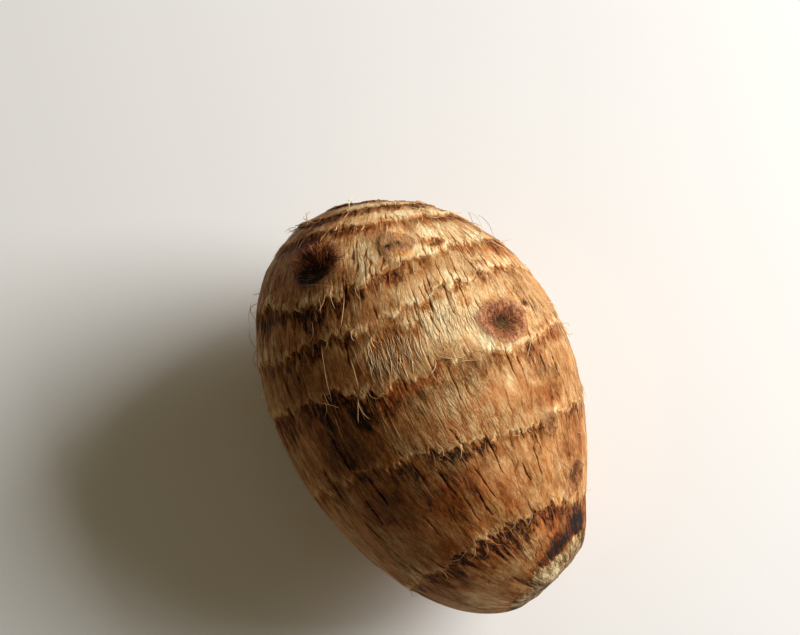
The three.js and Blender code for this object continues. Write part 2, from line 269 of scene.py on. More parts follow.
# Long splits in the skin, along the grain: turn, where each starts and ends along the axis, and
# its width in millimetres.
SPLITS = (
    (46, 37.5, 29.5, 0.9), (41, 28.5, 22.5, 0.8), (49, 26.5, 20.5, 0.7), (15, 24.5, 18.5, 0.7),
    (6, 18.5, 12.5, 0.6), (31, 18.8, 15.0, 0.6), (-55, 33.5, 26.5, 0.9), (-23, 23.0, 19.5, 0.7),
    (-18, 17.5, 13.0, 0.5), (-29, 21.0, 16.0, 0.5), (-10, 50.0, 43.5, 0.6), (-3, 43.0, 36.0, 0.5),
    (9, 45.0, 36.5, 0.6), (17, 46.0, 40.0, 0.5), (-6, 52.0, 45.0, 0.6), (14, 66.5, 58.0, 0.8),
    (9, 65.0, 57.5, 0.6), (3.5, 66.0, 58.5, 0.5), (-57, 50.0, 43.5, 0.6), (24, 53.0, 43.0, 0.5),
    (60, 33.0, 27.0, 0.6), (57, 24.0, 19.0, 0.6), (-35, 36.5, 31.0, 0.6), (-47, 35.0, 29.0, 0.5),
    (-12, 57.0, 45.0, 0.4), (-19, 58.0, 47.0, 0.4), (-25, 55.0, 44.5, 0.3), (-28, 51.0, 40.0, 0.4),
    (-46, 49.0, 37.0, 0.3), (-54, 53.0, 41.0, 0.3), (-32, 39.0, 30.5, 0.3), (-42, 38.0, 31.0, 0.3),
    (-16, 42.0, 33.0, 0.4), (-8, 39.0, 31.0, 0.3), (-60, 46.0, 36.0, 0.3), (-50, 61.0, 54.0, 0.3),
    (-26, 19.0, 12.5, 0.3), (-8, 25.0, 17.0, 0.4), (1, 22.0, 14.0, 0.3), (12, 19.0, 13.0, 0.3),
    (19, 61.0, 54.5, 0.6), (26, 41.5, 34.5, 0.5), (1, 29.0, 24.0, 0.5), (22, 26.5, 22.5, 0.5),
)

# Stray hairs, given one by one: turn and place along the axis where each starts, length in mm, the
# way it runs (0 to the scar, 90 towards more turn), how far it stands off and how far it curls.
STRAY_HAIRS = (
    (76, 53.0, 6.0, 70, 1.6, -190), (72, 51.5, 5.0, 110, 1.5, 60), (74, 47.5, 4.5, 20, 1.2, 80),
    (70, 59.0, 7.0, 95, 1.7, -60), (66, 61.0, 5.5, 60, 1.5, 50), (78, 56.0, 4.0, 130, 1.4, 40),
    (52, 71.2, 4.5, 120, 1.5, 30), (55, 71.0, 5.0, 150, 1.6, -40), (48, 71.4, 4.0, 80, 1.5, 50),
    (60, 70.8, 4.2, 100, 1.4, -60), (44, 71.6, 3.6, 40, 1.2, 70), (64, 70.5, 3.5, 60, 1.3, 90),
    (20, 57.0, 6.5, 5, 0.5, 20), (25, 58.0, 4.0, 12, 0.6, -30), (41, 59.6, 8.5, -82, 0.4, 12),
    (28, 57.2, 3.5, 0, 0.7, 60), (31, 57.0, 3.0, -20, 0.6, 40), (15, 57.6, 3.0, 10, 0.5, -40),
    (-3, 69.5, 6.0, 0, 0.5, 14), (-7, 69.6, 2.6, 40, 0.7, 90), (10, 69.0, 2.4, -30, 0.6, 70),
    (-66, 66.5, 5.2, 160, 1.6, 25), (-70, 65.0, 5.6, 172, 1.7, -22), (-62, 68.0, 4.0, 150, 1.5, 90),
    (-76, 40.5, 3.5, -80, 1.3, 30), (-74, 37.5, 4.0, -60, 1.3, -40), (-60, 15.2, 2.6, -80, 0.4, 40),
    (34, 50.0, 9.0, 4, 0.4, 10), (44, 48.0, 3.0, 100, 0.6, -120), (24, 46.0, 5.0, -4, 0.4, 14),
    (39, 39.0, 4.2, 2, 0.5, 10), (46, 41.3, 5.5, -80, 0.4, 24), (26, 40.2, 4.5, 30, 0.5, -60),
    (-9, 38.6, 4.8, -88, 0.5, 20), (-12, 39.4, 3.6, 100, 0.5, 40), (60, 26.5, 6.5, -60, 0.4, -20),
    (46, 13.4, 4.0, -20, 0.5, 80), (39, 12.2, 4.5, -50, 0.6, -70), (22, 11.8, 3.6, 20, 0.8, 100),
    (17, 11.6, 4.2, -10, 0.9, 120), (12, 11.3, 3.0, 50, 0.8, -110), (7, 11.0, 3.0, -5, 0.7, 60),
    (-2, 10.6, 2.6, 30, 0.5, 80), (-41, 12.6, 4.4, -42, 0.6, 20), (-39, 13.0, 2.0, 10, 0.6, 60),
    (9, 27.6, 3.0, -60, 0.6, 120), (4, 27.0, 3.4, -40, 0.5, -90), (1, 25.6, 2.6, 0, 0.5, 60),
)

# How far a fibre keeps from the crown's tip and from the scar.
CLEAR_OF_TIP = 3.0
CLEAR_OF_SCAR = 0.5

# The turn, in radians, that parts the two stretches of silvery fibres.
SILVERY_PART = -0.09

# The stage. The floor's half-width is in metres. The view has an elevation, a heading, a point it
# looks at (on the corm before it is shifted), a distance, a width at that distance, and a slide to
# the right and up. The light has a direction (rightwards, level ahead, up), a distance and a size
# in metres, and a power in watts.
FLOOR_HALF = 3.0
VIEW_ELEVATION = math.radians(80.0)
VIEW_HEADING = LENGTHWISE - math.radians(2.8)
VIEW_AIM = (43.0, -4.0, 0.0)
VIEW_DISTANCE = 520.0
VIEW_WIDTH = 160.0
VIEW_SLIDE = (-1.25, 9.71)
SENSOR_WIDTH = 36.0
LIGHT_FROM = (0.82, 0.32, 0.40)
LIGHT_DISTANCE = 0.85
LIGHT_SIZE = 0.6
LIGHT_POWER = 14.6
ROOM_COLOUR = (1.0, 0.84, 0.52)
ROOM_STRENGTH = 0.13


def linear(hex_colour):
    """Linear red, green and blue of an sRGB hex colour."""
    srgb = np.array([int(hex_colour[i : i + 2], 16) for i in (1, 3, 5)]) / 255
    return tuple(np.where(srgb <= 0.04045, srgb / 12.92, ((srgb + 0.055) / 1.055) ** 2.4))


def smooth(x):
    """A smooth step from 0 at 0 to 1 at 1."""
    x = np.clip(x, 0, 1)
    return x * x * (3 - 2 * x)


def bump(x):
    """A smooth hump, 1 at 0 and 0 beyond 1 either way."""
    return smooth(1 - np.abs(x))


def wrapped(angle):
    """The same angle, between minus and plus half a turn."""
    return np.mod(angle + math.pi, FULL_TURN) - math.pi


def lift_at(along):
    """The egg's angle, 0 at the crown's tip, at a place along the axis."""
    return np.arccos(np.clip((along - MIDDLE) / HALF_LENGTH, -1, 1))


# The length of the egg's outline from the crown's tip, as a function of lift: the running sum
# of hypot(girth * cos, length * sin).
LIFTS = np.linspace(0, lift_at(0.0), 3000)
ARCS = np.concatenate(
    ([0], np.cumsum(np.hypot(HALF_GIRTH * np.cos(LIFTS[1:]), HALF_LENGTH * np.sin(LIFTS[1:])) * LIFTS[1]))
)


def arc_at(along):
    """Millimetres over the skin from the crown's tip to a place along the axis."""
    return np.interp(lift_at(along), LIFTS, ARCS)


SCAR_ARC = float(arc_at(SCAR_AT))


def girth_at(arc):
    """The section's half-width at a distance over the skin: the egg's formula."""
    lift = np.interp(arc, ARCS, LIFTS)
    c = np.cos(lift)
    return HALF_GIRTH * np.sin(lift) * (1 + EGG_TAPER * c + EGG_FULLNESS * c * c)


def section_frame(along, turn):
    """The axis's point, and the outward and endward directions, at a place and a turn. The axis
    bends as the square of the distance from the crown, and the sections turn with it."""
    to_scar = np.clip(1 - along / AXIS_LENGTH, 0, None)
    swing = SECTION_TURN * to_scar**SECTION_TURN_POWER
    zero = 0 * along
    centre = np.stack([along, -BEND * to_scar**2, zero], -1)
    side = np.stack([-np.sin(swing), np.cos(swing), zero], -1)
    outward = side * np.sin(turn)[..., None] + np.array([0, 0, FLATTENING]) * np.cos(turn)[..., None]
    endward = np.stack([np.cos(swing), np.sin(swing), zero], -1)
    return centre, outward, endward


def grown_point(arc, turn, rise):
    """A point of the skin as it grew, in millimetres: the section's edge at arc and turn, moved
    rise outwards along the egg's normal."""
    arc, turn, rise = np.broadcast_arrays(arc, turn, rise)
    lift = np.interp(arc, ARCS, LIFTS)
    c, s = np.cos(lift), np.sin(lift)
    centre, outward, endward = section_frame(MIDDLE + HALF_LENGTH * c, turn)
    steep = np.hypot(HALF_GIRTH * c, HALF_LENGTH * s)
    across = girth_at(arc) + rise * HALF_LENGTH * s / steep
    return centre + across[..., None] * outward + (rise * HALF_GIRTH * c / steep)[..., None] * endward


def lying(points):
    """Turns grown points (millimetres) into the way the corm lies: pitched, then turned lengthwise."""
    p, q = REST_PITCH, LENGTHWISE
    pitch = np.array([[math.cos(p), 0, -math.sin(p)], [0, 1, 0], [math.sin(p), 0, math.cos(p)]])
    yaw = np.array([[math.cos(q), -math.sin(q), 0], [math.sin(q), math.cos(q), 0], [0, 0, 1]])
    return points @ (yaw @ pitch).T


# Humps this many millimetres long run almost unchanged along the grain.
SLOW = 40


def random_from(seed):
    """A source of repeatable random numbers."""
    return np.random.default_rng(seed)


def grain(turn, arc, wide, long, seed):
    """Smooth random values from -1 to 1, humps wide mm round the corm and long mm along it: a
    lattice of random numbers that closes round the corm, blended smoothly between its points."""
    columns = max(3, round(FULL_TURN * HALF_GIRTH / wide))
    rows = int(ARCS[-1] / long) + 4
    lattice = random_from(seed).uniform(-1, 1, (columns, rows))
    u = np.mod(turn / FULL_TURN, 1) * columns
    v = np.clip(arc / long, 0, rows - 2.001)
    i, j = np.floor(u).astype(int), np.floor(v).astype(int)
    fu, fv = smooth(u - i), smooth(v - j)
    i, k = i % columns, (i + 1) % columns
    low = lattice[i, j] * (1 - fu) + lattice[k, j] * fu
    high = lattice[i, j + 1] * (1 - fu) + lattice[k, j + 1] * fu
    return low * (1 - fv) + high * fv


def grain_round(turn, wide, seed):
    """Smooth random values from -1 to 1 that change only round the corm, in humps wide mm."""
    return grain(turn, 0 * turn, wide, SLOW, seed)


def around(pairs, turn):
    """A value round the corm: straight lines between (degrees, value) pairs, rounded off over
    a few degrees."""
    turns, values = np.array(sorted(pairs), float).T
    degrees = np.degrees(turn)
    return sum(np.interp(degrees + shift, turns, values, period=360) for shift in (-5, -2, 2, 5)) / 4


def cut_tiles(index):
    """The tiles that the husk splits into before a ring's edge: the turn, half-width and length of
    the crack that ends each tile, how far each tile reaches past the next and how far its crack
    runs past the edge, and how pale each tile is."""
    rng = random_from(70 + index)
    widths = rng.uniform(0.8, 3.6, CRACKS_PER_RING)
    cracks = np.cumsum(widths) / widths.sum() * FULL_TURN
    strength = around(RINGS[index]["tiles"], cracks)
    split = rng.uniform(0, 1, CRACKS_PER_RING) < strength
    lengths = np.where(split, rng.uniform(1.4, 7.0, CRACKS_PER_RING) * (0.5 + 0.5 * strength), 0.01)
    return dict(
        cracks=cracks, lengths=lengths, halves=rng.uniform(0.07, 0.20, CRACKS_PER_RING),
        reach=rng.uniform(-1, 1, CRACKS_PER_RING), below=0.1 + rng.exponential(0.5, CRACKS_PER_RING),
        shade=rng.uniform(-1, 1, CRACKS_PER_RING) * strength,
    )


TILES = [cut_tiles(index) for index in range(len(RINGS))]


def tile_at(index, turn):
    """The number of the ring's tile, and of the crack that ends it, at a turn."""
    return np.searchsorted(TILES[index]["cracks"], np.mod(turn, FULL_TURN)) % CRACKS_PER_RING


def ring_edge(index, turn):
    """Where a ring's torn husk edge runs, in mm over the skin from the crown's tip: the ring's
    line, a step for each tile, two sizes of random teeth and, round the back, a slow stray."""
    tiles = TILES[index]
    step = TILE_STEP / HALF_GIRTH
    knots = np.stack([tiles["cracks"] - step, tiles["cracks"] + step], -1).ravel()
    reach = np.stack([tiles["reach"], np.roll(tiles["reach"], -1)], -1).ravel()
    teeth = TILE_REACH * np.interp(turn, knots, reach, period=FULL_TURN)
    for spacing, height in TEETH:
        count = round(FULL_TURN * HALF_GIRTH / spacing)
        heights = random_from(40 + index + count).uniform(-1, 1, count)
        places = np.arange(count) * FULL_TURN / count
        teeth = teeth + height * np.interp(turn, places, heights, period=FULL_TURN)
    back = smooth((np.abs(wrapped(turn)) - 1.4) / 0.8) * min(1, index / 3)
    stray = BACK_STRAY * back * grain_round(turn, 16, 60 + index)
    return arc_at(around(RINGS[index]["edge"], turn)) + RINGS[index]["tooth"] * teeth + stray


def all_splits():
    """SPLITS, and 60 more with seeded places and sizes for the sides that SPLITS leaves out."""
    rng = random_from(9)
    splits = list(SPLITS)
    for _ in range(60):
        start = rng.uniform(16, 66)
        splits.append((rng.uniform(75, 285), start, start - rng.uniform(3, 8), rng.uniform(0.3, 0.6)))
    return splits


ALL_SPLITS = all_splits()


def nearer_crack(found, off, half, run):
    """Keeps the crack that is strongest at each point. found and the result are arrays of off (mm
    from the crack's middle, signed), half-width (mm), strength and depth (0 to 1); run is how
    much of its full self the crack is there."""
    strength = smooth(4 * run * bump(off / 0.5))
    inside = smooth(1.5 * (1 - np.abs(off) / np.maximum(half, 0.26)))
    depth = run * inside * np.clip(half / 0.28, 0.3, 1.2)
    return np.where(strength > found[2], (off, half * (0.3 + 0.7 * run), strength, depth), found)


def tile_cracks(found, turn, arc):
    """The cracks between the tiles of each ring, kept as nearer_crack does. Each wavers, is widest
    at the ring's edge and narrows towards the crown."""
    for index, tiles in enumerate(TILES):
        past = arc - ring_edge(index, turn)
        after = tile_at(index, turn)
        for crack in (after, after - 1):
            length = tiles["lengths"][crack]
            waver = 0.004 * np.sin(1.1 * past + 2.0 * crack) + 0.003 * np.sin(2.9 * past + crack)
            off = wrapped(turn - tiles["cracks"][crack] - waver) * girth_at(arc)
            run = smooth((length + past) / 2.0) * smooth((tiles["below"][crack] - past) / 0.8)
            half = tiles["halves"][crack] * (0.35 + 0.65 * smooth(1 + past / length))
            found = nearer_crack(found, off, half, run * (length > 0.1))
    return found


def split_cracks(found, turn, wander, arc):
    """The splits, kept as nearer_crack does. Each leans and swings, is jagged, more so near the
    crown, and narrows to both ends."""
    jagged = grain(turn, arc, 60, 2.0, 510) * (0.25 + 0.75 * smooth((40 - arc) / 10))
    for split, start, end, width in ALL_SPLITS:
        first, last = arc_at(start), arc_at(end)
        mid = (arc - first) / (last - first)
        lean = math.radians(split) + 0.01 * np.sin(3.0 * mid + split) + 0.004 * np.sin(11 * mid + split)
        off = wrapped(wander - lean) * girth_at(arc) + width * jagged
        run = smooth(3 * np.clip(np.minimum(mid, 1 - mid), 0, None))
        half = 0.3 * width * (1 + 0.5 * np.sin(23 * mid + 3 * split))
        found = nearer_crack(found, off, half, run)
    return found


def husk_fields(turn, wander, arc, worn):
    """What the leaf rings give the skin: how far the husk stands out, thicker towards each torn
    edge and gone past it; the bare band past the edge, which runs down in streaks and whose dark is
    partly the bare fibre's own colour and partly painted shadow under the ledge; the pale lip
    before it; and how much paler each tile is."""
    rise, band, lip, shade = 0.0, 0.0, 0.0, 0.0
    for index, ring in enumerate(RINGS):
        past = arc - ring_edge(index, turn)
        shade = shade + TILES[index]["shade"][tile_at(index, turn)] * smooth(1 + past / 6) * (past < 0)
        broken = 0.45 * grain_round(turn, 8, 320 + index) + 0.4 * grain_round(turn, 2.5, 420 + index)
        bold = around(ring["bold"], turn) * np.clip(0.92 + broken, 0.15, 1.3)
        over = np.where(past > 0, np.clip(1 - past / LEDGE_WIDTH, 0, 1), smooth(1 + past / ring["fade"]))
        uneven = 0.55 + 0.45 * worn + 0.45 * grain(turn, arc, 5, SLOW, 220 + index)
        rise = rise + ring["ledge"] * np.sqrt(bold) * np.clip(uneven, 0.05, 1.6) * over
        streak = 0.55 + 0.5 * grain(wander, arc, 1.0, SLOW, 20 + index)
        streak = streak + 0.35 * grain(wander, arc, 4.0, SLOW, 120 + index)
        bare = ring["band"] * np.clip(0.35 + 1.3 * streak, 0.3, 2.2)
        # Painted shadow: the band is darkest over its first half past the edge, partly the bare fibre's
        # own colour and partly the ledge's shadow.
        band = np.maximum(band, bold * np.where(past > 0, smooth(2.0 * (1 - past / bare)), 0))
        before = smooth(1 + past / (ring["lip"] * (0.5 + streak))) * smooth(0.15 + 1.2 * uneven)
        before = before * smooth(4 * bold) * (0.75 + 0.8 * around(ring["tiles"], turn))
        lip = np.maximum(lip, np.where(past < LEDGE_WIDTH, before, 0))
    return rise, band, lip, shade


def bud_place(bud, turn, arc):
    """Where a point lies in a bud, in the bud's half-widths and half-lengths: round, then along."""
    arc0 = arc_at(bud["at"])
    x = wrapped(turn - math.radians(bud["turn"])) * girth_at(arc0) / bud["size"][0]
    return x, (arc - arc0) / bud["size"][1]


def bud_fields(turn, arc):
    """What the side buds give the skin: how far they stand out, with a raised rim, a sunk or domed
    middle, spokes and a crumbly rim; the halo; how strong the disc, the pit (its dark centre and
    painted shade in its hollow) and the closed bud's scales are; and the place in the nearest bud
    and how far off it is."""
    nearest, bud_x, bud_y = 9.0 + 0 * arc, 9.0 + 0 * arc, 9.0 + 0 * arc
    rise, disc, pit, scales, halo = 0.0, 0.0, 0.0, 0.0, 0.0
    for bud in BUDS:
        x, y = bud_place(bud, turn, arc)
        angle = np.arctan2(y, x)
        outline = 1 + 0.06 * np.sin(3 * angle + bud["at"]) + 0.03 * np.sin(7 * angle + 2 * bud["at"])
        reach = np.hypot(x, y) * outline
        nearest, bud_x, bud_y = np.where(reach < nearest, (reach, x, y), (nearest, bud_x, bud_y))
        spokes = np.sin(23 * angle + 2 * reach) * bump((reach - 0.6) / 0.45)
        crumbs = grain(turn, arc, 0.9, 0.9, 34) * bump((reach - 0.85) / 0.35) * smooth(0.8 - y)
        rise = rise + bud["rim"] * bump((reach - 0.85) / 0.4) + bud["middle"] * bump(reach / 0.8)
        rise = rise + bud["disc"] * (0.09 * spokes + 0.22 * crumbs)
        disc = np.maximum(disc, bud["disc"] * smooth(2.6 * (1.17 - reach)))
        wide, across, down = bud["hole"]
        pit = np.maximum(pit, bud["pit"] * smooth(2.2 * (wide - np.hypot(x - across, y - down))))
        scales = np.maximum(scales, (bud["middle"] > 0) * smooth(3 * (1.2 - reach)))
        halo = np.maximum(halo, bud["halo"] * bump((reach - 1.18) / 0.4))
    return rise, halo, np.stack([disc, pit, scales], -1), np.stack([bud_x, bud_y, nearest], -1)


def patch_fields(turn, along, mottle):
    """How much paler, redder, greyer and more fibrous PATCHES make the skin. A patch fades out at
    an edge that the mottle breaks up."""
    changes = 0.0
    for patch_turn, patch_at, wide, long, *shifts in PATCHES:
        away = np.degrees(wrapped(turn - math.radians(patch_turn)))
        reach = np.hypot(away / wide, (along - patch_at) / long)
        share = smooth(1.35 * (1.25 - reach) + mottle)
        changes = changes + share[..., None] * np.array((*shifts, 0, 0, 0)[:4])
    return np.moveaxis(changes, -1, 0)


def skin_fields(turn, arc):
    """Everything about the skin at a turn (radians) and a distance from the crown's tip (mm).
    rise is how far it stands out of the egg: lumps, fibres, husk, buds, cracks, the sunk crown and
    the scar's lip. The others are what the material paints: tone from dark to cream; marks, which
    are band, lip and how fibrous it is; tint, which is red, grey and scar; eye, which is disc, pit
    and scales; the place in the nearest bud; the crack; and the place along the grain."""
    along = MIDDLE + HALF_LENGTH * np.cos(np.interp(arc, ARCS, LIFTS))
    wander = turn + 0.02 * grain(turn, arc, 26, 24, 1) + 0.005 * grain(turn, arc, 8, 9, 2)
    fine = grain(wander, arc, 0.75, 3.2, 3)
    coarse = grain(wander, arc, 1.9, 5, 4)
    worn = grain(turn, arc, 9, 7, 5)
    blotch = 0.6 * grain(turn, arc, 12, 9, 6) + 0.4 * grain(turn, arc, 5, 4, 7)
    streaky = 0.6 * grain(wander, arc, 2.6, 8, 11) + 0.4 * grain(wander, arc, 1.2, 4, 12)

    no_crack = np.stack([9 + 0 * arc, 0.1 + 0 * arc, 0 * arc, 0 * arc])
    off, half, strength, depth = split_cracks(tile_cracks(no_crack, turn, arc), turn, wander, arc)
    bud_rise, halo, eye, bud = bud_fields(turn, arc)
    quiet = smooth((bud[..., 2] - 0.9) / 0.3)
    depth, strength = depth * quiet, strength * quiet
    husk, band, lip, shade = (field * quiet for field in husk_fields(turn, wander, arc, worn))

    paler, redder, greyer, rougher = patch_fields(turn, along, 0.4 * blotch + 0.35 * streaky)
    lower = smooth((42 - along) / 14)
    # Painted shade: the side round a turn of 40 degrees, away from the light, is painted darker (tone)
    # and redder (red) below.
    left = bump((np.degrees(wrapped(turn)) - 40) / 55)
    scar = smooth((around(SCAR_EDGE, turn) + 0.6 * blotch + 0.3 * fine - along) / 0.5)
    rim = around(SCAR_RIM, turn) * bump((along - 2.5) / (1.9 + 0.9 * blotch)) * (1 - scar)
    tone = 0.55 + 0.06 * blotch + 0.05 * streaky - 0.05 * lower - 0.15 * left + 0.09 * shade
    tone = tone + 0.8 * paler + 0.22 * halo - 0.22 * smooth((11 - arc) / 8) - 0.21 * rim
    corky = around(SCAR_TONES, turn) + 0.15 * blotch + 0.35 * grain(turn, arc, 2, 1.5, 15)
    red = 0.07 + 0.20 * blotch + 0.18 * band + 0.08 * left + redder + 0.2 * rim + 0.02 * scar
    grey = 0.02 + 0.06 * worn + greyer
    fibrous = 0.46 + 0.50 * worn + 0.35 * band - 0.40 * lower - 0.45 * smooth((24 - arc) / 16) + rougher

    crown = 1.6 * smooth((8.0 - arc) / 3) - 1.9 * bump(arc / 3.8)
    scales = 0.15 * np.sin(FULL_TURN * arc / 1.6) * smooth((12 - arc) / 5)
    to_rim = (along - SCAR_AT) / SCAR_LIP_FADE
    scar_lip = SCAR_LIP * (0.6 - 0.4 * np.sin(turn)) * np.exp(-to_rim * to_rim)
    lumps = 0.35 * grain(turn, arc, 24, 22, 8) + 0.14 * grain(turn, arc, 7, 7, 10)
    fibres = (0.05 * fine + 0.05 * coarse) * np.clip(fibrous, 0.15, 1.3) + 0.12 * band * fine
    rise = lumps + fibres + husk + bud_rise - 0.24 * depth - 0.10 * band - 1.2 * scar * (1 - scar)
    round_by = (HALF_GIRTH + girth_at(arc)) / 2
    return dict(
        rise=rise - crown + scales + scar_lip, tone=tone * (1 - scar) + corky * scar,
        marks=np.stack([band, lip, fibrous], -1), tint=np.stack([red, grey, scar], -1), eye=eye, bud=bud,
        crack=np.stack([off, half, strength], -1),
        grain=np.stack([round_by * np.cos(wander), round_by * np.sin(wander), arc], -1),
    )


def skin_rows(turn):
    """The distance from the crown's tip of each row of the skin, for every turn. Rows follow the
    rings' torn edges: each edge has a row on it and one LEDGE_WIDTH past it, and rows lie
    closer together towards an edge."""
    stops = [ring_edge(index, turn) for index in range(len(RINGS))] + [SCAR_ARC + 0 * turn]
    rows, before = [], 0 * turn
    for number, stop in enumerate(stops):
        count = max(4, round(float(np.mean(stop - before)) / ROW_SPACING))
        for share in np.arange(1, count + 1) / count:
            rows.append(before + (stop - before) * (0.6 * share + 0.4 * math.sin(share * math.pi / 2)))
        before = stop
        if number < len(RINGS):
            before = stop + LEDGE_WIDTH
            rows.append(before)
    return np.array(rows)


def placed():
    """The shift, in millimetres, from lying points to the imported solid's place: their boxes have
    the same top and the same middle."""
    turn = np.linspace(0, FULL_TURN, 181)[None, :-1]
    arc = np.linspace(0.5, SCAR_ARC, 120)[:, None]
    points = lying(grown_point(arc, turn, skin_fields(*np.broadcast_arrays(turn, arc))["rise"]))
    low, high = (np.array(corner) / MM for corner in CORM_BOX)
    flat = points.reshape(-1, 3)
    shift = (low + high) / 2 - (flat.min(0) + flat.max(0)) / 2
    shift[2] = high[2] - flat[:, 2].max()
    return shift


SHIFT = placed()


def place(arc, turn, rise):
    """A point of the skin where it lies in the frame, in metres."""
    return (lying(grown_point(arc, turn, rise)) + SHIFT) * MM


def new_piece(name, points, faces, material):
    """A mesh object at the origin, with smooth faces, that rides on the root body."""
    mesh = bpy.data.meshes.new(name)
    mesh.from_pydata(points.reshape(-1, 3), [], faces)
    mesh.shade_smooth()
    mesh.materials.append(material)
    piece = bpy.data.objects.new(name, mesh)
    bpy.context.scene.collection.objects.link(piece)
    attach(piece, "root")
    return piece


def add_attribute(piece, name, values):
    """Stores one number, or one vector, for each vertex."""
    single = values.ndim == 1
    kind, field = ("FLOAT", "value") if single else ("FLOAT_VECTOR", "vector")
    attribute = piece.data.attributes.new(name, kind, "POINT")
    attribute.data.foreach_set(field, np.ascontiguousarray(values, np.float32).ravel())


def add_strands(name, turns, arcs, lifts, widths, thick, tones, tints, material):
    """Many thin strands as one piece. turns, arcs and lifts (mm above the skin) are arrays of one
    row a strand. Each point of a path becomes a triangle across it, as wide as widths and thick
    times that high, which narrows to both ends, and a face closes each end. tones and tints
    (red, grey) are added to the skin's. No strand dips into the skin's hollows or below the
    floor."""
    fields = skin_fields(turns, arcs)
    rise = fields["rise"]
    bridge = rise[:, :1] - 0.12 * (arcs - arcs[:, :1]) - 0.15
    above = np.maximum(rise, bridge) + lifts
    path = place(arcs, turns, above)
    count, steps, _ = path.shape
    ahead = np.gradient(path, axis=1)
    side = np.cross(ahead, place(arcs, turns, above + 1) - path)
    side /= np.linalg.norm(side, axis=-1, keepdims=True)
    over = np.cross(side, ahead)
    over /= np.linalg.norm(over, axis=-1, keepdims=True)
    share = np.linspace(0, 1, steps)
    taper = np.minimum(1, 0.35 + 2.6 * np.minimum(share, 1 - share))
    radius = (widths[:, None] / 2 * taper * MM)[..., None]
    path[..., 2:] = np.maximum(path[..., 2:], CORM_BOX[0][2] + radius)
    corners = [
        path + radius * (math.cos(angle) * side + thick * math.sin(angle) * over)
        for angle in (-FULL_TURN / 12, FULL_TURN / 4, 7 * FULL_TURN / 12)
    ]
    here = np.arange(count * steps * 3).reshape(count, steps, 3)
    turned = np.roll(here, -1, axis=2)
    quads = np.stack([here[:, :-1], turned[:, :-1], turned[:, 1:], here[:, 1:]], -1).reshape(-1, 4)
    faces = quads.tolist() + here[:, 0, ::-1].tolist() + here[:, -1].tolist()
    piece = new_piece(name, np.stack(corners, 2), faces, material)
    tint = fields["tint"] + np.column_stack([tints, 0 * widths])[:, None]
    add_attribute(piece, "tone", np.repeat(fields["tone"] + tones[:, None], 3))
    add_attribute(piece, "tint", np.repeat(tint.reshape(-1, 3), 3, axis=0))


def add_node(tree, kind, inputs=None, output=None, stops=(), **settings):
    """Adds a shader node with its settings and its ramp's stops (position, linear colour), sets or
    links its inputs by name or number, and returns its output of that name, or its first one in use."""
    node = tree.nodes.new("ShaderNode" + kind)
    for name, value in settings.items():
        setattr(node, name, value)
    while stops and len(node.color_ramp.elements) < len(stops):
        node.color_ramp.elements.new(1.0)
    for number, (position, colour) in enumerate(stops):
        node.color_ramp.elements[number].position = position
        node.color_ramp.elements[number].color = (*colour, 1)
    for key, value in (inputs or {}).items():
        sockets = [s for s in node.inputs if s.enabled]
        socket = sockets[key] if isinstance(key, int) else next(s for s in sockets if s.name == key)
        if isinstance(value, bpy.types.NodeSocket):
            tree.links.new(value, socket)
        else:
            socket.default_value = value
    if output is not None:
        return node.outputs[output]
    return next((s for s in node.outputs if s.enabled), node)


def weighted(tree, parts, weights):
    """The sum of three values, each times its weight."""
    vector = add_node(tree, "CombineXYZ", dict(enumerate(parts)))
    return add_node(tree, "VectorMath", {0: vector, 1: weights}, "Value", operation="DOT_PRODUCT")


def frayed(tree, name, fray, amounts):
    """A vector attribute of the skin whose three values are frayed by these amounts."""
    smooth_edged = add_node(tree, "Attribute", output="Vector", attribute_name=name)
    return add_node(
        tree, "VectorMath", {0: fray, 1: amounts, 2: smooth_edged}, operation="MULTIPLY_ADD",
    )


def new_material(name):
    """An empty node material, and its node tree."""
    material = bpy.data.materials.new(name)
    material.use_nodes = True
    material.node_tree.nodes.clear()
    return material, material.node_tree


def skin_colour(tree, colours, tone, red, grey):
    """The colour of husk and bark: a ramp from near black to cream, reddened, then greyed."""
    base = add_node(tree, "ValToRGB", {0: tone}, stops=(
        (0.00, colours.pit), (0.12, colours.dark), (0.30, colours.brown),
        (0.52, colours.tan), (0.75, colours.pale), (1.00, colours.cream),
    ))
    rust = (*colours.rust, 1)
    base = add_node(
        tree, "Mix", {"Factor": red, "A": base, "B": rust}, data_type="RGBA", blend_type="MULTIPLY",
    )
    ashen = add_node(tree, "ValToRGB", {0: tone}, stops=(
        (0.05, colours.pit), (0.45, colours.ash), (0.95, colours.cork),
    ))
    return add_node(tree, "Mix", {"Factor": grey, "A": base, "B": ashen}, data_type="RGBA")


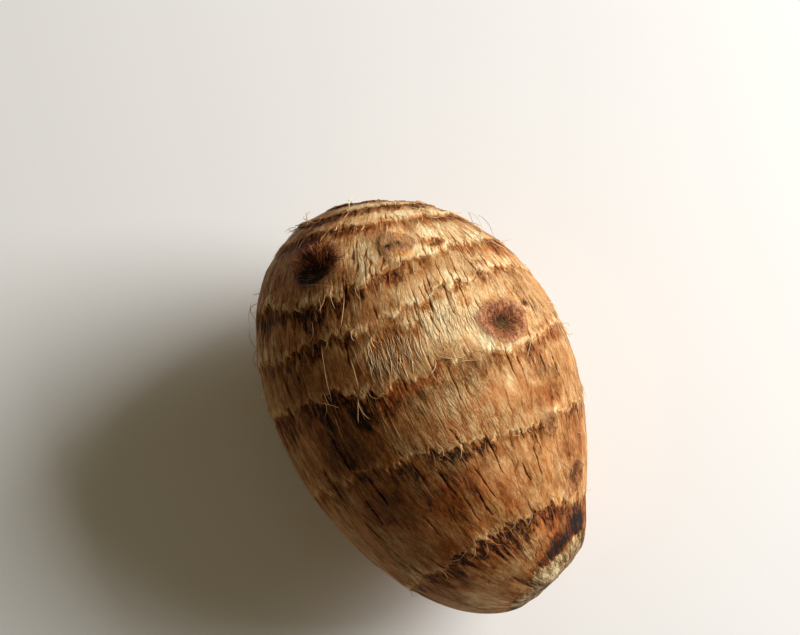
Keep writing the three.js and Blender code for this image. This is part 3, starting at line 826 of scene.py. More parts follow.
def skin_patterns(tree):
    """The patterns of dry corm skin, by name. Their coordinates are millimetres round and along the
    grain, squeezed along it, so a scale is a number of features in a millimetre of width: threads
    0.4 mm wide; straws 0.7 mm wide, with dark lines between them; strips 3 mm wide, some with a
    gap at their edge; stains of 1.7 mm, crumbs of 0.8 mm, grit of 0.2 mm and blotches of 3 mm; and
    fray, which breaks up the edges of all that is painted on the skin. A slow waver bends the
    threads, straws, strips and stains by up to 1.4 mm."""
    grain_at = add_node(tree, "Attribute", output="Vector", attribute_name="grain")
    patch_at = add_node(tree, "VectorMath", {0: grain_at, 1: (1.0, 1.0, 0.6)}, operation="MULTIPLY")
    waver = add_node(tree, "TexNoise", {"Vector": patch_at, "Scale": 0.4, "Detail": 1.0}, "Color")
    wavy_at = add_node(
        tree, "VectorMath", {0: waver, 1: (1.4, 1.4, 0.0), 2: grain_at}, operation="MULTIPLY_ADD",
    )
    strip_at, thread_at, stain_at = (
        add_node(tree, "VectorMath", {0: wavy_at, 1: (1.0, 1.0, squeeze)}, operation="MULTIPLY")
        for squeeze in (0.13, 0.2, 0.4)
    )
    threads, stain, crumb, grit, blotch = (
        add_node(tree, "TexNoise", {
            "Vector": at, "Scale": scale, "Detail": detail, "Roughness": rough,
        }, output)
        for at, scale, detail, rough, output in (
            (thread_at, 2.4, 3.0, 0.65, None), (stain_at, 0.6, 5.0, 0.7, None),
            (patch_at, 1.3, 5.0, 0.78, None), (patch_at, 4.5, 2.0, 0.7, None),
            (patch_at, 0.3, 5.0, 0.65, "Color"),
        )
    )
    straw = add_node(tree, "TexVoronoi", {"Vector": thread_at, "Scale": 1.5}).node
    between = add_node(tree, "MapRange", {
        "Value": straw.outputs["Distance"], "From Min": 0.55, "From Max": 0.80,
    })
    strip = add_node(tree, "TexVoronoi", {"Vector": strip_at, "Scale": 0.34}, "Color")
    straws, strips, blotches = (
        add_node(tree, "SeparateXYZ", {0: colour}).node.outputs
        for colour in (straw.outputs["Color"], strip, blotch)
    )
    edge = add_node(
        tree, "TexVoronoi", {"Vector": strip_at, "Scale": 0.34}, feature="DISTANCE_TO_EDGE",
    )
    gap = add_node(tree, "MapRange", {"Value": edge, "From Min": 0.045, "From Max": 0.015})
    sharp = add_node(tree, "CombineXYZ", {0: threads, 1: crumb, 2: stain})
    sharp = add_node(
        tree, "MapRange",
        {"Vector": sharp, "From Min": (0.36, 0.38, 0.40), "From Max": (0.64, 0.62, 0.64)}, "Vector",
        data_type="FLOAT_VECTOR", interpolation_type="SMOOTHSTEP",
    )
    thready, crumbly, stained = add_node(tree, "SeparateXYZ", {0: sharp}).node.outputs
    fray = weighted(tree, (threads, straws[0], crumb), (1.0, 0.35, 0.8))
    return SimpleNamespace(
        threads=threads, crumb=crumb, thready=thready, crumbly=crumbly, stained=stained,
        straws=straws[0], between=between, strips=strips[0], blotches=blotches,
        gap=add_node(tree, "Math", {0: gap, 1: strips[1]}, operation="MULTIPLY"),
        grit=add_node(tree, "Math", {0: grit, 1: -0.5}, operation="ADD"),
        fray=add_node(tree, "Math", {0: fray, 1: -1.07}, operation="ADD"),
    )


def crack_line(tree, fray):
    """The nearest crack: a line as wide as its half-width says, with ragged sides. The skin is painted
    darker along it, partly the crack's own colour and partly painted shade in its groove.
    """
    crack = add_node(tree, "Attribute", output="Vector", attribute_name="crack")
    off, half, strength = add_node(tree, "SeparateXYZ", {0: crack}).node.outputs
    ragged = add_node(tree, "Math", {0: fray, 1: 0.22, 2: off}, operation="MULTIPLY_ADD")
    away = add_node(tree, "Math", {0: ragged}, operation="ABSOLUTE")
    within = add_node(tree, "Math", {0: half, 1: away}, operation="SUBTRACT")
    line = add_node(tree, "MapRange", {"Value": within, "From Min": -0.10, "From Max": 0.05})
    return add_node(tree, "Math", {0: line, 1: strength}, operation="MULTIPLY")


def skin_tone(tree, pattern, marks, line, scar):
    """The skin's tone, from its own attribute: darker in bands, cracks and gaps, paler on lips,
    mottled where it is fibrous and crumbly on the scar. The darkening of bands and cracks is partly
    their own colour and partly painted shade under the ledges and in the cracks. Also how rough and
    how crumbly it is."""
    band, lip, fibrous = marks
    worn = add_node(tree, "MapRange", {"Value": pattern.crumbly, "To Min": 1.2, "To Max": 0.6})
    band = add_node(tree, "Math", {0: band, 1: worn}, operation="MULTIPLY")
    # Bands and cracks are painted darker, partly their own colour and partly painted shade; lips paler.
    painted = weighted(tree, (band, lip, line), (-0.34, 0.22, -0.26))
    mottle = weighted(tree, (pattern.thready, pattern.straws, pattern.between), (0.13, 0.07, -0.10))
    mottle = add_node(tree, "Math", {0: mottle, 1: -0.06}, operation="ADD")
    rougher = add_node(tree, "MapRange", {"Value": fibrous, "To Min": 0.15, "To Max": 1.7})
    bare = add_node(tree, "Math", {0: 1.0, 1: scar}, operation="SUBTRACT")
    rougher = add_node(tree, "Math", {0: rougher, 1: bare}, operation="MULTIPLY")
    mottle = add_node(tree, "Math", {0: mottle, 1: rougher}, operation="MULTIPLY")
    crumbs = add_node(tree, "MapRange", {"Value": scar, "To Min": 0.15, "To Max": 0.45})
    crumbs = add_node(tree, "Math", {0: pattern.crumbly, 1: crumbs}, operation="MULTIPLY")
    broad = weighted(
        tree, (pattern.strips, pattern.blotches[0], pattern.stained), (0.05, 0.42, -0.15),
    )
    broad = add_node(tree, "Math", {0: broad, 1: -0.205}, operation="ADD")
    gaps = add_node(tree, "Math", {0: pattern.gap, 1: -0.16, 2: broad}, operation="MULTIPLY_ADD")
    gritty = add_node(tree, "MapRange", {"Value": fibrous, "To Min": 0.12, "To Max": 0.70})
    gaps = add_node(tree, "Math", {0: pattern.grit, 1: gritty, 2: gaps}, operation="MULTIPLY_ADD")
    tone = add_node(tree, "Attribute", output="Fac", attribute_name="tone")
    for part in (painted, mottle, crumbs, gaps):
        tone = add_node(tree, "Math", {0: tone, 1: part}, operation="ADD")
    return tone, rougher, crumbs


def skin_tints(tree, pattern, tint, line, scar):
    """How red and how grey the skin is: its own tint, with blotches, stains, cracks and scar."""
    red = weighted(tree, (pattern.blotches[1], pattern.stained, line), (1.6, 0.20, 0.4))
    red = add_node(tree, "Math", {0: red, 1: tint[0]}, operation="ADD")
    red = add_node(tree, "Math", {0: red, 1: -0.80}, operation="ADD", use_clamp=True)
    grey = add_node(tree, "Math", {0: scar, 1: 0.7, 2: tint[1]}, operation="MULTIPLY_ADD")
    grey = add_node(tree, "Math", {0: pattern.blotches[2], 1: 1.9, 2: grey}, operation="MULTIPLY_ADD")
    return red, add_node(tree, "Math", {0: grey, 1: -0.90}, operation="ADD", use_clamp=True)


def bud_colour(tree, colours, pattern, base):
    """The skin's colour with its buds: an open one is a red-brown disc with spokes, a hollow painted
    near-black, its dark centre with painted shade, and an olive fan of young scales in its middle;
    a closed one has curved scales. Also what the disc's spokes and the scales add to the height."""
    bud = add_node(tree, "Attribute", output="Vector", attribute_name="bud")
    flat = add_node(tree, "VectorMath", {0: bud, 1: (1.0, 1.0, 0.0)}, operation="MULTIPLY")
    reach = add_node(tree, "VectorMath", {0: flat}, "Value", operation="LENGTH")
    bearing = add_node(tree, "VectorMath", {0: flat}, operation="NORMALIZE")
    spoke_at = add_node(tree, "VectorMath", {0: bearing, 1: flat}, operation="ADD")
    spokes = add_node(tree, "TexNoise", {
        "Vector": spoke_at, "Scale": 7.0, "Detail": 4.0, "Roughness": 0.7,
    })
    eye = frayed(tree, "eye", pattern.fray, (0.9, 0.3, 0.0))
    eye_disc, eye_pit, closed = add_node(tree, "SeparateXYZ", {0: eye}).node.outputs
    arcs = add_node(tree, "Math", {0: spokes, 1: 9.0}, operation="MULTIPLY")
    arcs = add_node(tree, "Math", {0: reach, 1: 17.0, 2: arcs}, operation="MULTIPLY_ADD")
    arcs = add_node(tree, "Math", {0: arcs}, operation="SINE")
    arcs = add_node(tree, "Math", {0: arcs, 1: closed}, operation="MULTIPLY")
    tone = weighted(tree, (spokes, reach, pattern.crumb), (1.2, 0.70, 1.8))
    tone = add_node(tree, "Math", {0: arcs, 1: 0.38, 2: tone}, operation="MULTIPLY_ADD")
    tone = add_node(tree, "Math", {0: closed, 1: 0.8, 2: tone}, operation="MULTIPLY_ADD")
    tone = add_node(tree, "Math", {0: tone, 1: -1.33}, operation="ADD")
    disc_colour = add_node(tree, "ValToRGB", {0: tone}, stops=(
        (0.05, colours.pit), (0.30, colours.disc_dark), (0.60, colours.disc), (1.0, colours.disc_pale),
    ))
    disc = add_node(tree, "MapRange", {"Value": eye_disc, "From Min": 0.25, "From Max": 0.65})
    pit = add_node(tree, "MapRange", {"Value": eye_pit, "From Min": 0.1, "From Max": 0.8})
    fan = add_node(tree, "VectorMath", {0: flat, 1: (-0.03, 0.16, 0.0)}, "Value", operation="DISTANCE")
    fan = add_node(tree, "MapRange", {"Value": fan, "From Min": 0.36, "From Max": 0.10})
    fan = add_node(tree, "Math", {0: fan, 1: disc}, operation="MULTIPLY")
    rays = add_node(tree, "MapRange", {"Value": spokes, "From Min": 0.45, "From Max": 0.65})
    fan_colour = add_node(tree, "Mix", {
        "Factor": rays, "A": (*colours.disc_dark, 1), "B": (*colours.sprout, 1),
    }, data_type="RGBA")
    # The pit is painted near-black: the bud's dark centre and painted shade in its hollow.
    for share, colour in ((disc, disc_colour), (pit, (*colours.pit, 1)), (fan, fan_colour)):
        base = add_node(tree, "Mix", {"Factor": share, "A": base, "B": colour}, data_type="RGBA")
    return base, add_node(tree, "Math", {0: spokes, 1: disc}, operation="MULTIPLY"), arcs


def skin_material(colours):
    """Dry corm skin: thin flaking bark over fibrous husk, dull all over. Its paint and its fine
    relief both come from skin_patterns."""
    material, tree = new_material("dry_corky_skin")
    pattern = skin_patterns(tree)
    marks = frayed(tree, "marks", pattern.fray, (0.9, 0.7, 0.5))
    marks = add_node(
        tree, "MapRange", {"Vector": marks, "From Min": (0.15, 0.3, -0.1), "From Max": (0.72, 0.8, 1.1)},
        "Vector", data_type="FLOAT_VECTOR",
    )
    marks = add_node(tree, "SeparateXYZ", {0: marks}).node.outputs
    line = crack_line(tree, pattern.fray)
    tint = frayed(tree, "tint", pattern.fray, (0.4, 0.5, 0.8))
    tint = add_node(tree, "SeparateXYZ", {0: tint}).node.outputs
    scar = add_node(tree, "MapRange", {"Value": tint[2], "From Min": 0.3, "From Max": 0.7})
    tone, rougher, crumbs = skin_tone(tree, pattern, marks, line, scar)
    red, grey = skin_tints(tree, pattern, tint, line, scar)
    base = skin_colour(tree, colours, tone, red, grey)
    base, spoked, arcs = bud_colour(tree, colours, pattern, base)

    height = weighted(tree, (pattern.threads, pattern.between, pattern.crumb), (0.40, -0.35, 0.45))
    height = add_node(tree, "Math", {0: height, 1: rougher}, operation="MULTIPLY")
    sunk = weighted(tree, (line, pattern.gap, pattern.stained), (-0.7, -0.25, -0.10))
    scaly = add_node(tree, "Math", {0: arcs, 1: 0.25, 2: crumbs}, operation="MULTIPLY_ADD")
    for part in (sunk, spoked, scaly):
        height = add_node(tree, "Math", {0: height, 1: part}, operation="ADD")
    normal = add_node(tree, "Bump", {"Strength": 0.9, "Distance": 0.35 * MM, "Height": height})
    rough = add_node(tree, "Math", {0: pattern.crumb, 1: 0.35, 2: 0.45}, operation="MULTIPLY_ADD")
    shader = add_node(tree, "BsdfPrincipled", {
        "Base Color": base, "Roughness": rough, "Normal": normal, "Specular IOR Level": 0.12,
    })
    add_node(tree, "OutputMaterial", {"Surface": shader})
    return material


def strand_material(colours):
    """Loose husk fibre: dry, slightly glossy threads in the skin's own colours."""
    material, tree = new_material("loose_husk_fibre")
    tone = add_node(tree, "Attribute", output="Fac", attribute_name="tone")
    tint = add_node(tree, "Attribute", output="Vector", attribute_name="tint")
    tint = add_node(tree, "SeparateXYZ", {0: tint}).node.outputs
    red = add_node(tree, "Math", {0: tint[0], 1: 0.0}, operation="ADD", use_clamp=True)
    grey = add_node(tree, "Math", {0: tint[1], 1: 0.0}, operation="ADD", use_clamp=True)
    base = skin_colour(tree, colours, tone, red, grey)
    shader = add_node(tree, "BsdfPrincipled", {
        "Base Color": base, "Roughness": 0.5, "Specular IOR Level": 0.4,
    })
    add_node(tree, "OutputMaterial", {"Surface": shader})
    return material


def floor_material(colours):
    """Matte paper, for the floor."""
    material, tree = new_material("matte_paper_floor")
    shader = add_node(tree, "BsdfPrincipled", {"Base Color": (*colours.floor, 1), "Roughness": 0.9})
    add_node(tree, "OutputMaterial", {"Surface": shader})
    return material


def swatch(name, hex_colour, words):
    """A colour that a user may change."""
    return bpy.props.FloatVectorProperty(
        name=name, description=words, subtype="COLOR", size=3, min=0, max=1, default=linear(hex_colour)
    )


def amount(name, default, least, most, words):
    """A whole number that a user may change."""
    return bpy.props.IntProperty(name=name, description=words, default=default, min=least, max=most)


class TaroColours(bpy.types.PropertyGroup):
    """The corm's colours."""

    # The pit colour is partly painted shade: the darkest cracks and the bud hollows.
    pit: swatch("Pit", "#160a04", "Deepest splits and bud hollows")
    # The dark band colour also carries the painted shadow under each ring's ledge.
    dark: swatch("Dark band", "#4a2606", "Bare fibrous bands past the rings' edges")
    brown: swatch("Brown skin", "#814a14", "Weathered skin")
    tan: swatch("Tan skin", "#ae7b48", "Ordinary skin")
    pale: swatch("Pale husk", "#cca571", "Husk towards its torn edges")
    cream: swatch("Cream husk", "#edd7a9", "Freshly bared husk")
    rust: swatch("Rust", "#ffc486", "What multiplies the skin where it is reddest")
    ash: swatch("Ash", "#7e6136", "Greyed skin and fibres")
    cork: swatch("Cork", "#e8d2a4", "Corky scar tissue and bleached fibres")
    disc_dark: swatch("Bud, dark", "#4a2612", "Grooves of an open bud")
    disc: swatch("Bud", "#8e5432", "Face of an open bud")
    disc_pale: swatch("Bud, pale", "#c48e64", "Ridges and rim of an open bud")
    sprout: swatch("Sprout", "#8a7440", "Young scales in the middle of an open bud")
    floor: swatch("Floor", "#f6f5f3", "The stage's floor")


class TaroSizes(bpy.types.PropertyGroup):
    """Numbers that change how the corm is made."""

    columns: amount("Columns", 720, 90, 720, "Faces round the skin")
    lying_fibres: amount("Lying fibres", 1000, 0, 6000, "Fibres that lie along the skin")
    silver_fibres: amount("Silvery fibres", 150, 0, 2000, "Bleached fibres that lie together")
    fringe_fibres: amount("Fringe fibres", 450, 0, 6000, "Fibres that hang over the rings' edges")
    stray_hairs: amount("Stray hairs", 90, 0, 400, "Hairs that stand off the skin")


def scar_points(rim, turn):
    """The scar's face: rows of points from its rim towards its middle, and the middle. A row lies
    its share of the way in, mounded by 1 - (1 - share)^2 and roughened most half way in."""
    middle = rim.mean(0)
    out = lying(section_frame(np.array([SCAR_AT]), np.zeros(1))[2])[0]
    share = (np.arange(1, SCAR_ROWS) / SCAR_ROWS)[:, None]
    mound = SCAR_MOUND * (1 - (1 - share) ** 2)
    rough = 0.25 * grain(turn + 0 * share, 0 * turn + 60 * share, 5, 3, 33) * bump(2 * share - 1)
    share = share[..., None]
    rows = rim * (1 - share) + middle * share - out * ((mound + rough) * MM)[..., None]
    return rows, (middle - out * SCAR_MOUND * MM)[None]


def scar_fields(fields, turn):
    """What the material paints on the scar's face, point by point as scar_points gives them. All
    is carried in from the rim; the grain runs to the middle, and the tone turns corky, with
    pores, dark rays from the rim, a dark ring and a darker middle."""
    inwards = np.append(np.repeat(np.arange(1, SCAR_ROWS) / SCAR_ROWS, len(turn)), 1.0)
    column = np.append(np.tile(np.arange(len(turn)), SCAR_ROWS - 1), 0)
    carried = {name: values[-1][column] for name, values in fields.items()}
    shrunk = np.stack([1 - inwards, 1 - inwards, 1 + 0 * inwards], -1)
    pores = grain(turn[column], 40 * inwards, 3, 5, 34)
    rays = -0.30 * smooth(3 * grain_round(turn[column], 3.5, 35) - 0.9) * (1 - inwards)
    ring = -0.15 * bump((inwards - 0.33) / 0.17) - 0.17 * smooth((inwards - 0.62) / 0.2)
    tone = carried["tone"]
    tone = tone + (0.42 - tone) * smooth(2 * inwards) + 0.16 * pores * (1 - inwards)
    return carried | dict(grain=carried["grain"] * shrunk, tone=tone + ring + rays)


class TARO_OT_skin(bpy.types.Operator):
    """Make the corm's skin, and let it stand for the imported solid"""

    bl_idname = "taro.skin"
    bl_label = "Skin"

    def execute(self, context):
        columns = context.scene.taro_sizes.columns
        turn = np.arange(columns) * FULL_TURN / columns
        turn = turn - CROWDING * np.sin(turn)
        arcs = skin_rows(turn)
        turns = np.broadcast_to(turn, arcs.shape)
        fields = skin_fields(turns, arcs)
        body = place(arcs, turns, fields["rise"])
        tip_fields = skin_fields(np.zeros(1), np.zeros(1))
        tip = place(np.zeros(1), np.zeros(1), tip_fields["rise"])
        scar, end = scar_points(body[-1], turn)
        points = np.concatenate([tip, *body, *scar, end])
        points[:, 2] = np.maximum(points[:, 2], CORM_BOX[0][2])

        here = 1 + np.arange(len(points) - 2).reshape(-1, columns)
        right = np.roll(here, -1, axis=1)
        quads = np.stack([here[:-1], right[:-1], right[1:], here[1:]], -1).reshape(-1, 4)
        tip_faces = np.stack([0 * here[0], right[0], here[0]], -1)
        end_faces = np.stack([0 * here[0] + len(points) - 1, here[-1], right[-1]], -1)
        faces = quads.tolist() + tip_faces.tolist() + end_faces.tolist()
        piece = new_piece("corm_skin", points, faces, skin_material(context.scene.taro_colours))
        on_scar = scar_fields(fields, turn)
        for name in ("tone", "marks", "tint", "eye", "bud", "crack", "grain"):
            add_attribute(piece, name, np.concatenate([tip_fields[name], *fields[name], on_scar[name]]))
        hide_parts("corm")
        return {"FINISHED"}


def fibre_paths(turn, start, length, lean, bow, waves, steps):
    """Paths along the skin, a row a fibre, as turns and arcs: each runs its length on from its
    start, leans round evenly and bows round by a sine, and stays clear of the tip and the scar."""
    turns = turn[:, None] + lean[:, None] * steps + bow[:, None] * np.sin(waves * steps)
    arcs = start[:, None] + length[:, None] * steps
    return turns, np.clip(arcs, CLEAR_OF_TIP, SCAR_ARC - CLEAR_OF_SCAR)


def of_ring(ring, rows):
    """Each strand's value from rows, which hold one row a ring."""
    return np.array(rows)[ring, np.arange(len(ring))]


def add_lying_fibres(wanted_count, material):
    """Short fibres that lie along the skin, where it is most fibrous, and lift by the cube of
    their run. The most fibrous skin has bleached ones, paler and thicker."""
    rng = random_from(301)
    steps = np.linspace(0, 1, 6)
    turn = rng.uniform(-math.pi, math.pi, 3 * wanted_count)
    start = arc_at(rng.uniform(2.0, 74.0, len(turn)))
    fields = skin_fields(turn, start)
    fibrous = fields["marks"][:, 2]
    wanted = np.minimum(fibrous, 1.5) + rng.uniform(0, 0.7, len(turn))
    wanted = wanted - 2 * (fields["bud"][:, 2] < 1.2) - 3 * (1 - girth_at(start) / HALF_GIRTH) ** 2
    kept = np.argsort(-wanted)[:wanted_count]
    count = len(kept)
    bleached = smooth(2 * (fibrous[kept] - 1.0))
    paths = fibre_paths(
        turn[kept], start[kept], rng.uniform(1.5, 5.5, count),
        rng.normal(0, 0.014, count), rng.normal(0, 0.010, count), 3, steps,
    )
    lifts = rng.uniform(0, 0.18, count)[:, None] * steps**3
    add_strands(
        "lying_fibres", *paths, lifts, rng.uniform(0.07, 0.15, count) + 0.10 * bleached, 1.0,
        0.40 * bleached + rng.normal(0.06, 0.14, count),
        rng.uniform((-0.2, -0.1), (0.2, 0.3), (count, 2)), material,
    )


def add_silvery_fibres(wanted_count, material):
    """Bleached, flattened fibres that lie together on top, near the corm's middle: those right of
    SILVERY_PART start further towards the crown. Each stands off by a sine of its run."""
    rng = random_from(305)
    steps = np.linspace(0, 1, 6)
    turn = np.radians(rng.uniform(-26, 19, 2 * wanted_count))
    right, left = rng.uniform(45.0, 52.5, len(turn)), rng.uniform(43.0, 48.0, len(turn))
    start = arc_at(np.where(turn < SILVERY_PART, right, left))
    fibrous = skin_fields(turn, start)["marks"][:, 2]
    kept = np.argsort(-fibrous - rng.uniform(0, 1.0, len(turn)))[:wanted_count]
    count = len(kept)
    paths = fibre_paths(
        turn[kept], start[kept], rng.uniform(1.5, 5.0, count),
        rng.normal(0.01, 0.012, count), rng.normal(0, 0.006, count), 4, steps,
    )
    lifts = 0.02 + rng.uniform(0, 0.2, count)[:, None] * np.sin(3 * steps)
    add_strands(
        "silvery_fibres", *paths, lifts, rng.uniform(0.08, 0.17, count), 0.7,
        rng.normal(0.42, 0.20, count), rng.uniform((-0.3, -0.1), (0.2, 0.5), (count, 2)), material,
    )


def add_husk_fringe(wanted_count, material):
    """Frayed fibres that hang over the rings' boldest edges, most of them short, and lift by the
    square of their run."""
    rng = random_from(302)
    steps = np.linspace(0, 1, 6)
    turn = rng.uniform(-math.pi, math.pi, 2 * wanted_count)
    ring = rng.integers(2, len(RINGS), len(turn))
    edges = np.array([ring_edge(index, turn) for index in range(len(RINGS))])
    start = of_ring(ring, edges - rng.uniform(0.2, 1.4, edges.shape))
    bold = of_ring(ring, [around(item["bold"], turn) for item in RINGS])
    kept = np.argsort(-bold - rng.uniform(0, 0.6, len(turn)))[:wanted_count]
    count = len(kept)
    paths = fibre_paths(
        turn[kept], start[kept], 1.0 + rng.exponential(1.1, count),
        rng.normal(0, 0.03, count), rng.normal(0, 0.025, count), 3, steps,
    )
    lifts = 0.03 + rng.exponential(0.22, count)[:, None] * steps**2
    add_strands(
        "husk_fringe", *paths, lifts, rng.uniform(0.08, 0.16, count), 1.0,
        rng.normal(0.12, 0.2, count), rng.uniform((-0.2, 0.0), (0.2, 0.3), (count, 2)), material,
    )


def add_bud_hairs(material):
    """Hairs of the open buds. In a bud's own half-widths and half-lengths, x round and y along, a
    hair starts at its angle and reach from the middle and runs in across the bud, bowed by a
    sine. Those of a tangled bud start anywhere in it, cross each other and stand up."""
    rng = random_from(303)
    steps = np.linspace(0, 1, 7)
    bud = np.repeat(np.arange(len(BUDS)), [item["hairs"] for item in BUDS])
    count = len(bud)
    wide, long = np.array([item["size"] for item in BUDS])[bud].T
    tangled = np.array([item.get("tangled", False) for item in BUDS])[bud]
    middle = np.radians([item["turn"] for item in BUDS])[bud]
    arc0 = arc_at(np.array([item["at"] for item in BUDS]))[bud]
    angle = np.where(tangled, rng.normal(-1.4, 1.0, count), rng.uniform(0, FULL_TURN, count))
    reach = np.where(tangled, rng.uniform(0.1, 0.8, count), rng.uniform(0.75, 1.1, count))
    bearing = angle + np.where(tangled, 0, math.pi) + rng.normal(0, 0.35, count) * (1 + tangled)
    length, bow = rng.uniform(0.2, 0.5, count), rng.normal(0, 0.06, count)
    across = (length * (1 - 0.2 * tangled))[:, None] * steps
    bent = (bow * (1 + tangled))[:, None] * np.sin(3 * steps)
    cosine, sine = np.cos(bearing)[:, None], np.sin(bearing)[:, None]
    x = (reach * np.cos(angle))[:, None] + across * cosine - bent * sine
    y = (reach * np.sin(angle))[:, None] + across * sine + bent * cosine
    turns = middle[:, None] + x * (wide / girth_at(arc0))[:, None]
    arcs = arc0[:, None] + y * long[:, None]
    stand = rng.exponential(0.2, count) * np.where(tangled, 3, 1)
    lifts = 0.02 + stand[:, None] * np.sin(2.2 * steps)
    upper = smooth(0.6 - y[:, -1])
    widths, tones = rng.uniform(0.07, 0.14, count), rng.normal(-0.12, 0.14, count)
    tones = tones + tangled * (0.5 * upper * (rng.uniform(0, 1, count) < 0.4) - 0.16)
    tints = rng.uniform((0.4, 0.0), (1.0, 0.1), (count, 2))
    add_strands("bud_hairs", turns, arcs, lifts, widths, 1.0, tones, tints, material)


def add_stray_hairs(extra, material):
    """Hairs that stand off the skin: STRAY_HAIRS, then extra ones with seeded places at the rings'
    edges. A hair steps on the way it heads, which turns by its curl from root to tip, and stands
    off by a sine of its rise."""
    rng = random_from(304)
    steps = np.linspace(0, 1, 14)
    ring = rng.integers(2, len(RINGS), extra)
    turn = rng.uniform(-math.pi, math.pi, extra)
    start = of_ring(ring, [ring_edge(index, turn) - 0.5 for index in range(len(RINGS))])
    placed_hairs = np.array(STRAY_HAIRS)
    turn = np.concatenate([np.radians(placed_hairs[:, 0]), turn])
    start = np.concatenate([arc_at(placed_hairs[:, 1]), start])
    seeded = np.column_stack([
        rng.uniform(2.0, 6.0, extra), rng.normal(0, 60, extra),
        rng.uniform(0.3, 1.4, extra), rng.normal(0, 110, extra),
    ])
    long, bearing, rise, curl = np.concatenate([placed_hairs[:, 2:], seeded]).T
    count = len(turn)
    heading = np.radians(bearing[:, None] + curl[:, None] * steps)
    run = (long / (len(steps) - 1))[:, None]
    arcs = start[:, None] + np.cumsum(run * np.cos(heading), axis=1)
    turns = turn[:, None] + np.cumsum(run * np.sin(heading), axis=1) / girth_at(start)[:, None]
    lifts = 0.05 + rise[:, None] * np.sin(2.0 * steps)
    add_strands(
        "stray_hairs", turns, np.clip(arcs, 2, SCAR_ARC - CLEAR_OF_SCAR), lifts,
        rng.uniform(0.12, 0.18, count), 1.0, rng.normal(0.32, 0.1, count),
        rng.uniform((-0.2, 0.0), (0.1, 0.4), (count, 2)), material,
    )


class TARO_OT_fibres(bpy.types.Operator):
    """Add the husk's fibres: short ones along the skin, and frayed ones over the rings' edges"""

    bl_idname = "taro.fibres"
    bl_label = "Husk fibres"

    def execute(self, context):
        sizes = context.scene.taro_sizes
        material = strand_material(context.scene.taro_colours)
        add_lying_fibres(sizes.lying_fibres, material)
        add_silvery_fibres(sizes.silver_fibres, material)
        add_husk_fringe(sizes.fringe_fibres, material)
        return {"FINISHED"}


class TARO_OT_hairs(bpy.types.Operator):
    """Add the hairs: in the open buds, and stray ones that stand off the skin"""

    bl_idname = "taro.hairs"
    bl_label = "Hairs"

    def execute(self, context):
        material = bpy.data.materials["loose_husk_fibre"]
        add_bud_hairs(material)
        add_stray_hairs(context.scene.taro_sizes.stray_hairs, material)
        return {"FINISHED"}


def placing(x, y, z, at):
    """The matrix that turns an object's axes to x, y and z and puts it at a place in metres."""
    return Matrix(np.vstack([np.column_stack([x, y, z, at]), (0, 0, 0, 1)]).tolist())


def view_frame():
    """The directions to the view's right, level ahead and ahead, and the point it looks at, in
    millimetres."""
    level = np.array([math.cos(VIEW_HEADING), math.sin(VIEW_HEADING), 0])
    ahead = level * math.cos(VIEW_ELEVATION) - np.array([0, 0, math.sin(VIEW_ELEVATION)])
    right = np.array([math.sin(VIEW_HEADING), -math.cos(VIEW_HEADING), 0])
    return right, level, ahead, lying(np.array(VIEW_AIM)) + SHIFT


def add_floor(scene):
    """A wide square under the corm."""
    mesh = bpy.data.meshes.new("floor")
    corners = [(-1, -1), (1, -1), (1, 1), (-1, 1)]
    mesh.from_pydata([(x * FLOOR_HALF, y * FLOOR_HALF, 0) for x, y in corners], [], [(0, 1, 2, 3)])
    mesh.materials.append(floor_material(scene.taro_colours))
    floor = bpy.data.objects.new("floor", mesh)
    scene.collection.objects.link(floor)
    floor.location.z = CORM_BOX[0][2]


def add_camera(scene):
    """The camera, VIEW_DISTANCE back from the point it looks at and slid over its own picture."""
    right, _, ahead, aim = view_frame()
    up = np.cross(right, ahead)
    across, upwards = VIEW_SLIDE
    eye = aim - ahead * VIEW_DISTANCE + right * across + up * upwards
    data = bpy.data.cameras.new("camera")
    data.sensor_width = SENSOR_WIDTH
    data.lens = SENSOR_WIDTH * VIEW_DISTANCE / VIEW_WIDTH
    camera = bpy.data.objects.new("camera", data)
    camera.matrix_world = placing(right, up, -ahead, eye * MM)
    scene.collection.objects.link(camera)
    scene.camera = camera


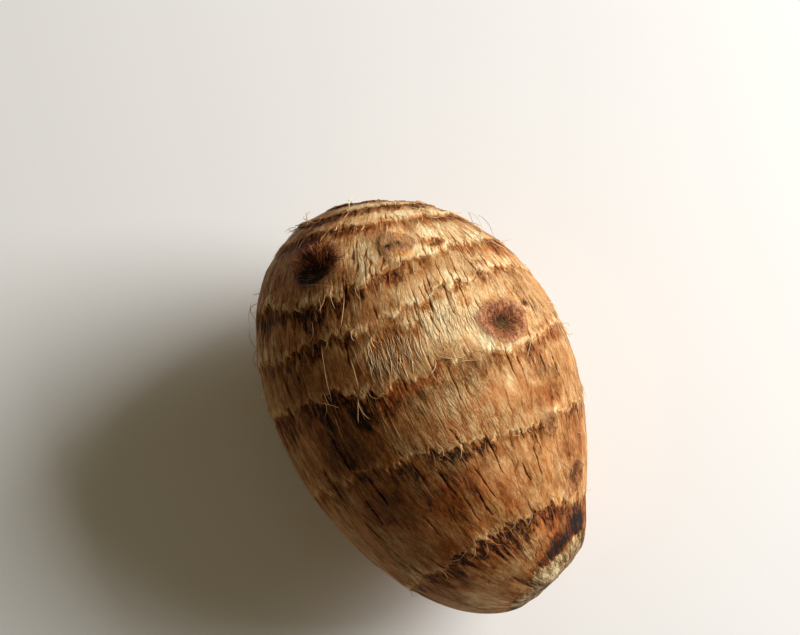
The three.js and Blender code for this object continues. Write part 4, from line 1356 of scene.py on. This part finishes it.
def add_light(scene):
    """One square light, LIGHT_DISTANCE from the point that the view looks at, facing it."""
    right, level, _, aim = view_frame()
    rightwards, onwards, upwards = LIGHT_FROM
    z = right * rightwards + level * onwards + np.array([0, 0, upwards])
    z = z / np.linalg.norm(z)
    x = np.cross([0, 0, 1.0], z)
    x = x / np.linalg.norm(x)
    data = bpy.data.lights.new("key", "AREA")
    data.size = LIGHT_SIZE
    data.energy = LIGHT_POWER
    lamp = bpy.data.objects.new("key", data)
    lamp.matrix_world = placing(x, np.cross(z, x), z, aim * MM + LIGHT_DISTANCE * z)
    scene.collection.objects.link(lamp)


def add_room(scene):
    """The faint warm light that comes from all round."""
    world = bpy.data.worlds.new("pale_room")
    world.use_nodes = True
    background = world.node_tree.nodes["Background"]
    background.inputs[0].default_value = (*ROOM_COLOUR, 1)
    background.inputs[1].default_value = ROOM_STRENGTH
    scene.world = world


class TARO_OT_stage(bpy.types.Operator):
    """Set the floor, the light and the camera"""

    bl_idname = "taro.stage"
    bl_label = "Stage"

    def execute(self, context):
        add_floor(context.scene)
        add_camera(context.scene)
        add_light(context.scene)
        add_room(context.scene)
        context.scene.view_settings.view_transform = "Standard"
        return {"FINISHED"}


class TARO_PT_panel(bpy.types.Panel):
    """Lists the corm's sizes and colours, and the buttons that make its pieces"""

    bl_label = "Taro corm"
    bl_idname = "TARO_PT_panel"
    bl_space_type = "VIEW_3D"
    bl_region_type = "UI"
    bl_category = "Taro"

    def draw(self, context):
        for group in (context.scene.taro_sizes, context.scene.taro_colours):
            for name in group.__annotations__:
                self.layout.prop(group, name)
        for operator in OPERATORS:
            self.layout.operator(operator.bl_idname)


OPERATORS = (TARO_OT_skin, TARO_OT_fibres, TARO_OT_hairs, TARO_OT_stage)
CLASSES = (TaroColours, TaroSizes, *OPERATORS, TARO_PT_panel)


def register():
    """Makes the classes known, and hangs their sizes and colours on the scene."""
    for item in CLASSES:
        bpy.utils.register_class(item)
    bpy.types.Scene.taro_colours = bpy.props.PointerProperty(type=TaroColours)
    bpy.types.Scene.taro_sizes = bpy.props.PointerProperty(type=TaroSizes)


def unregister():
    """Undoes register."""
    del bpy.types.Scene.taro_sizes
    del bpy.types.Scene.taro_colours
    for item in reversed(CLASSES):
        bpy.utils.unregister_class(item)


def main():
    """Makes every piece and the stage."""
    register()
    bpy.ops.taro.skin()
    bpy.ops.taro.fibres()
    bpy.ops.taro.hairs()
    bpy.ops.taro.stage()


if __name__ == "__main__":
    main()
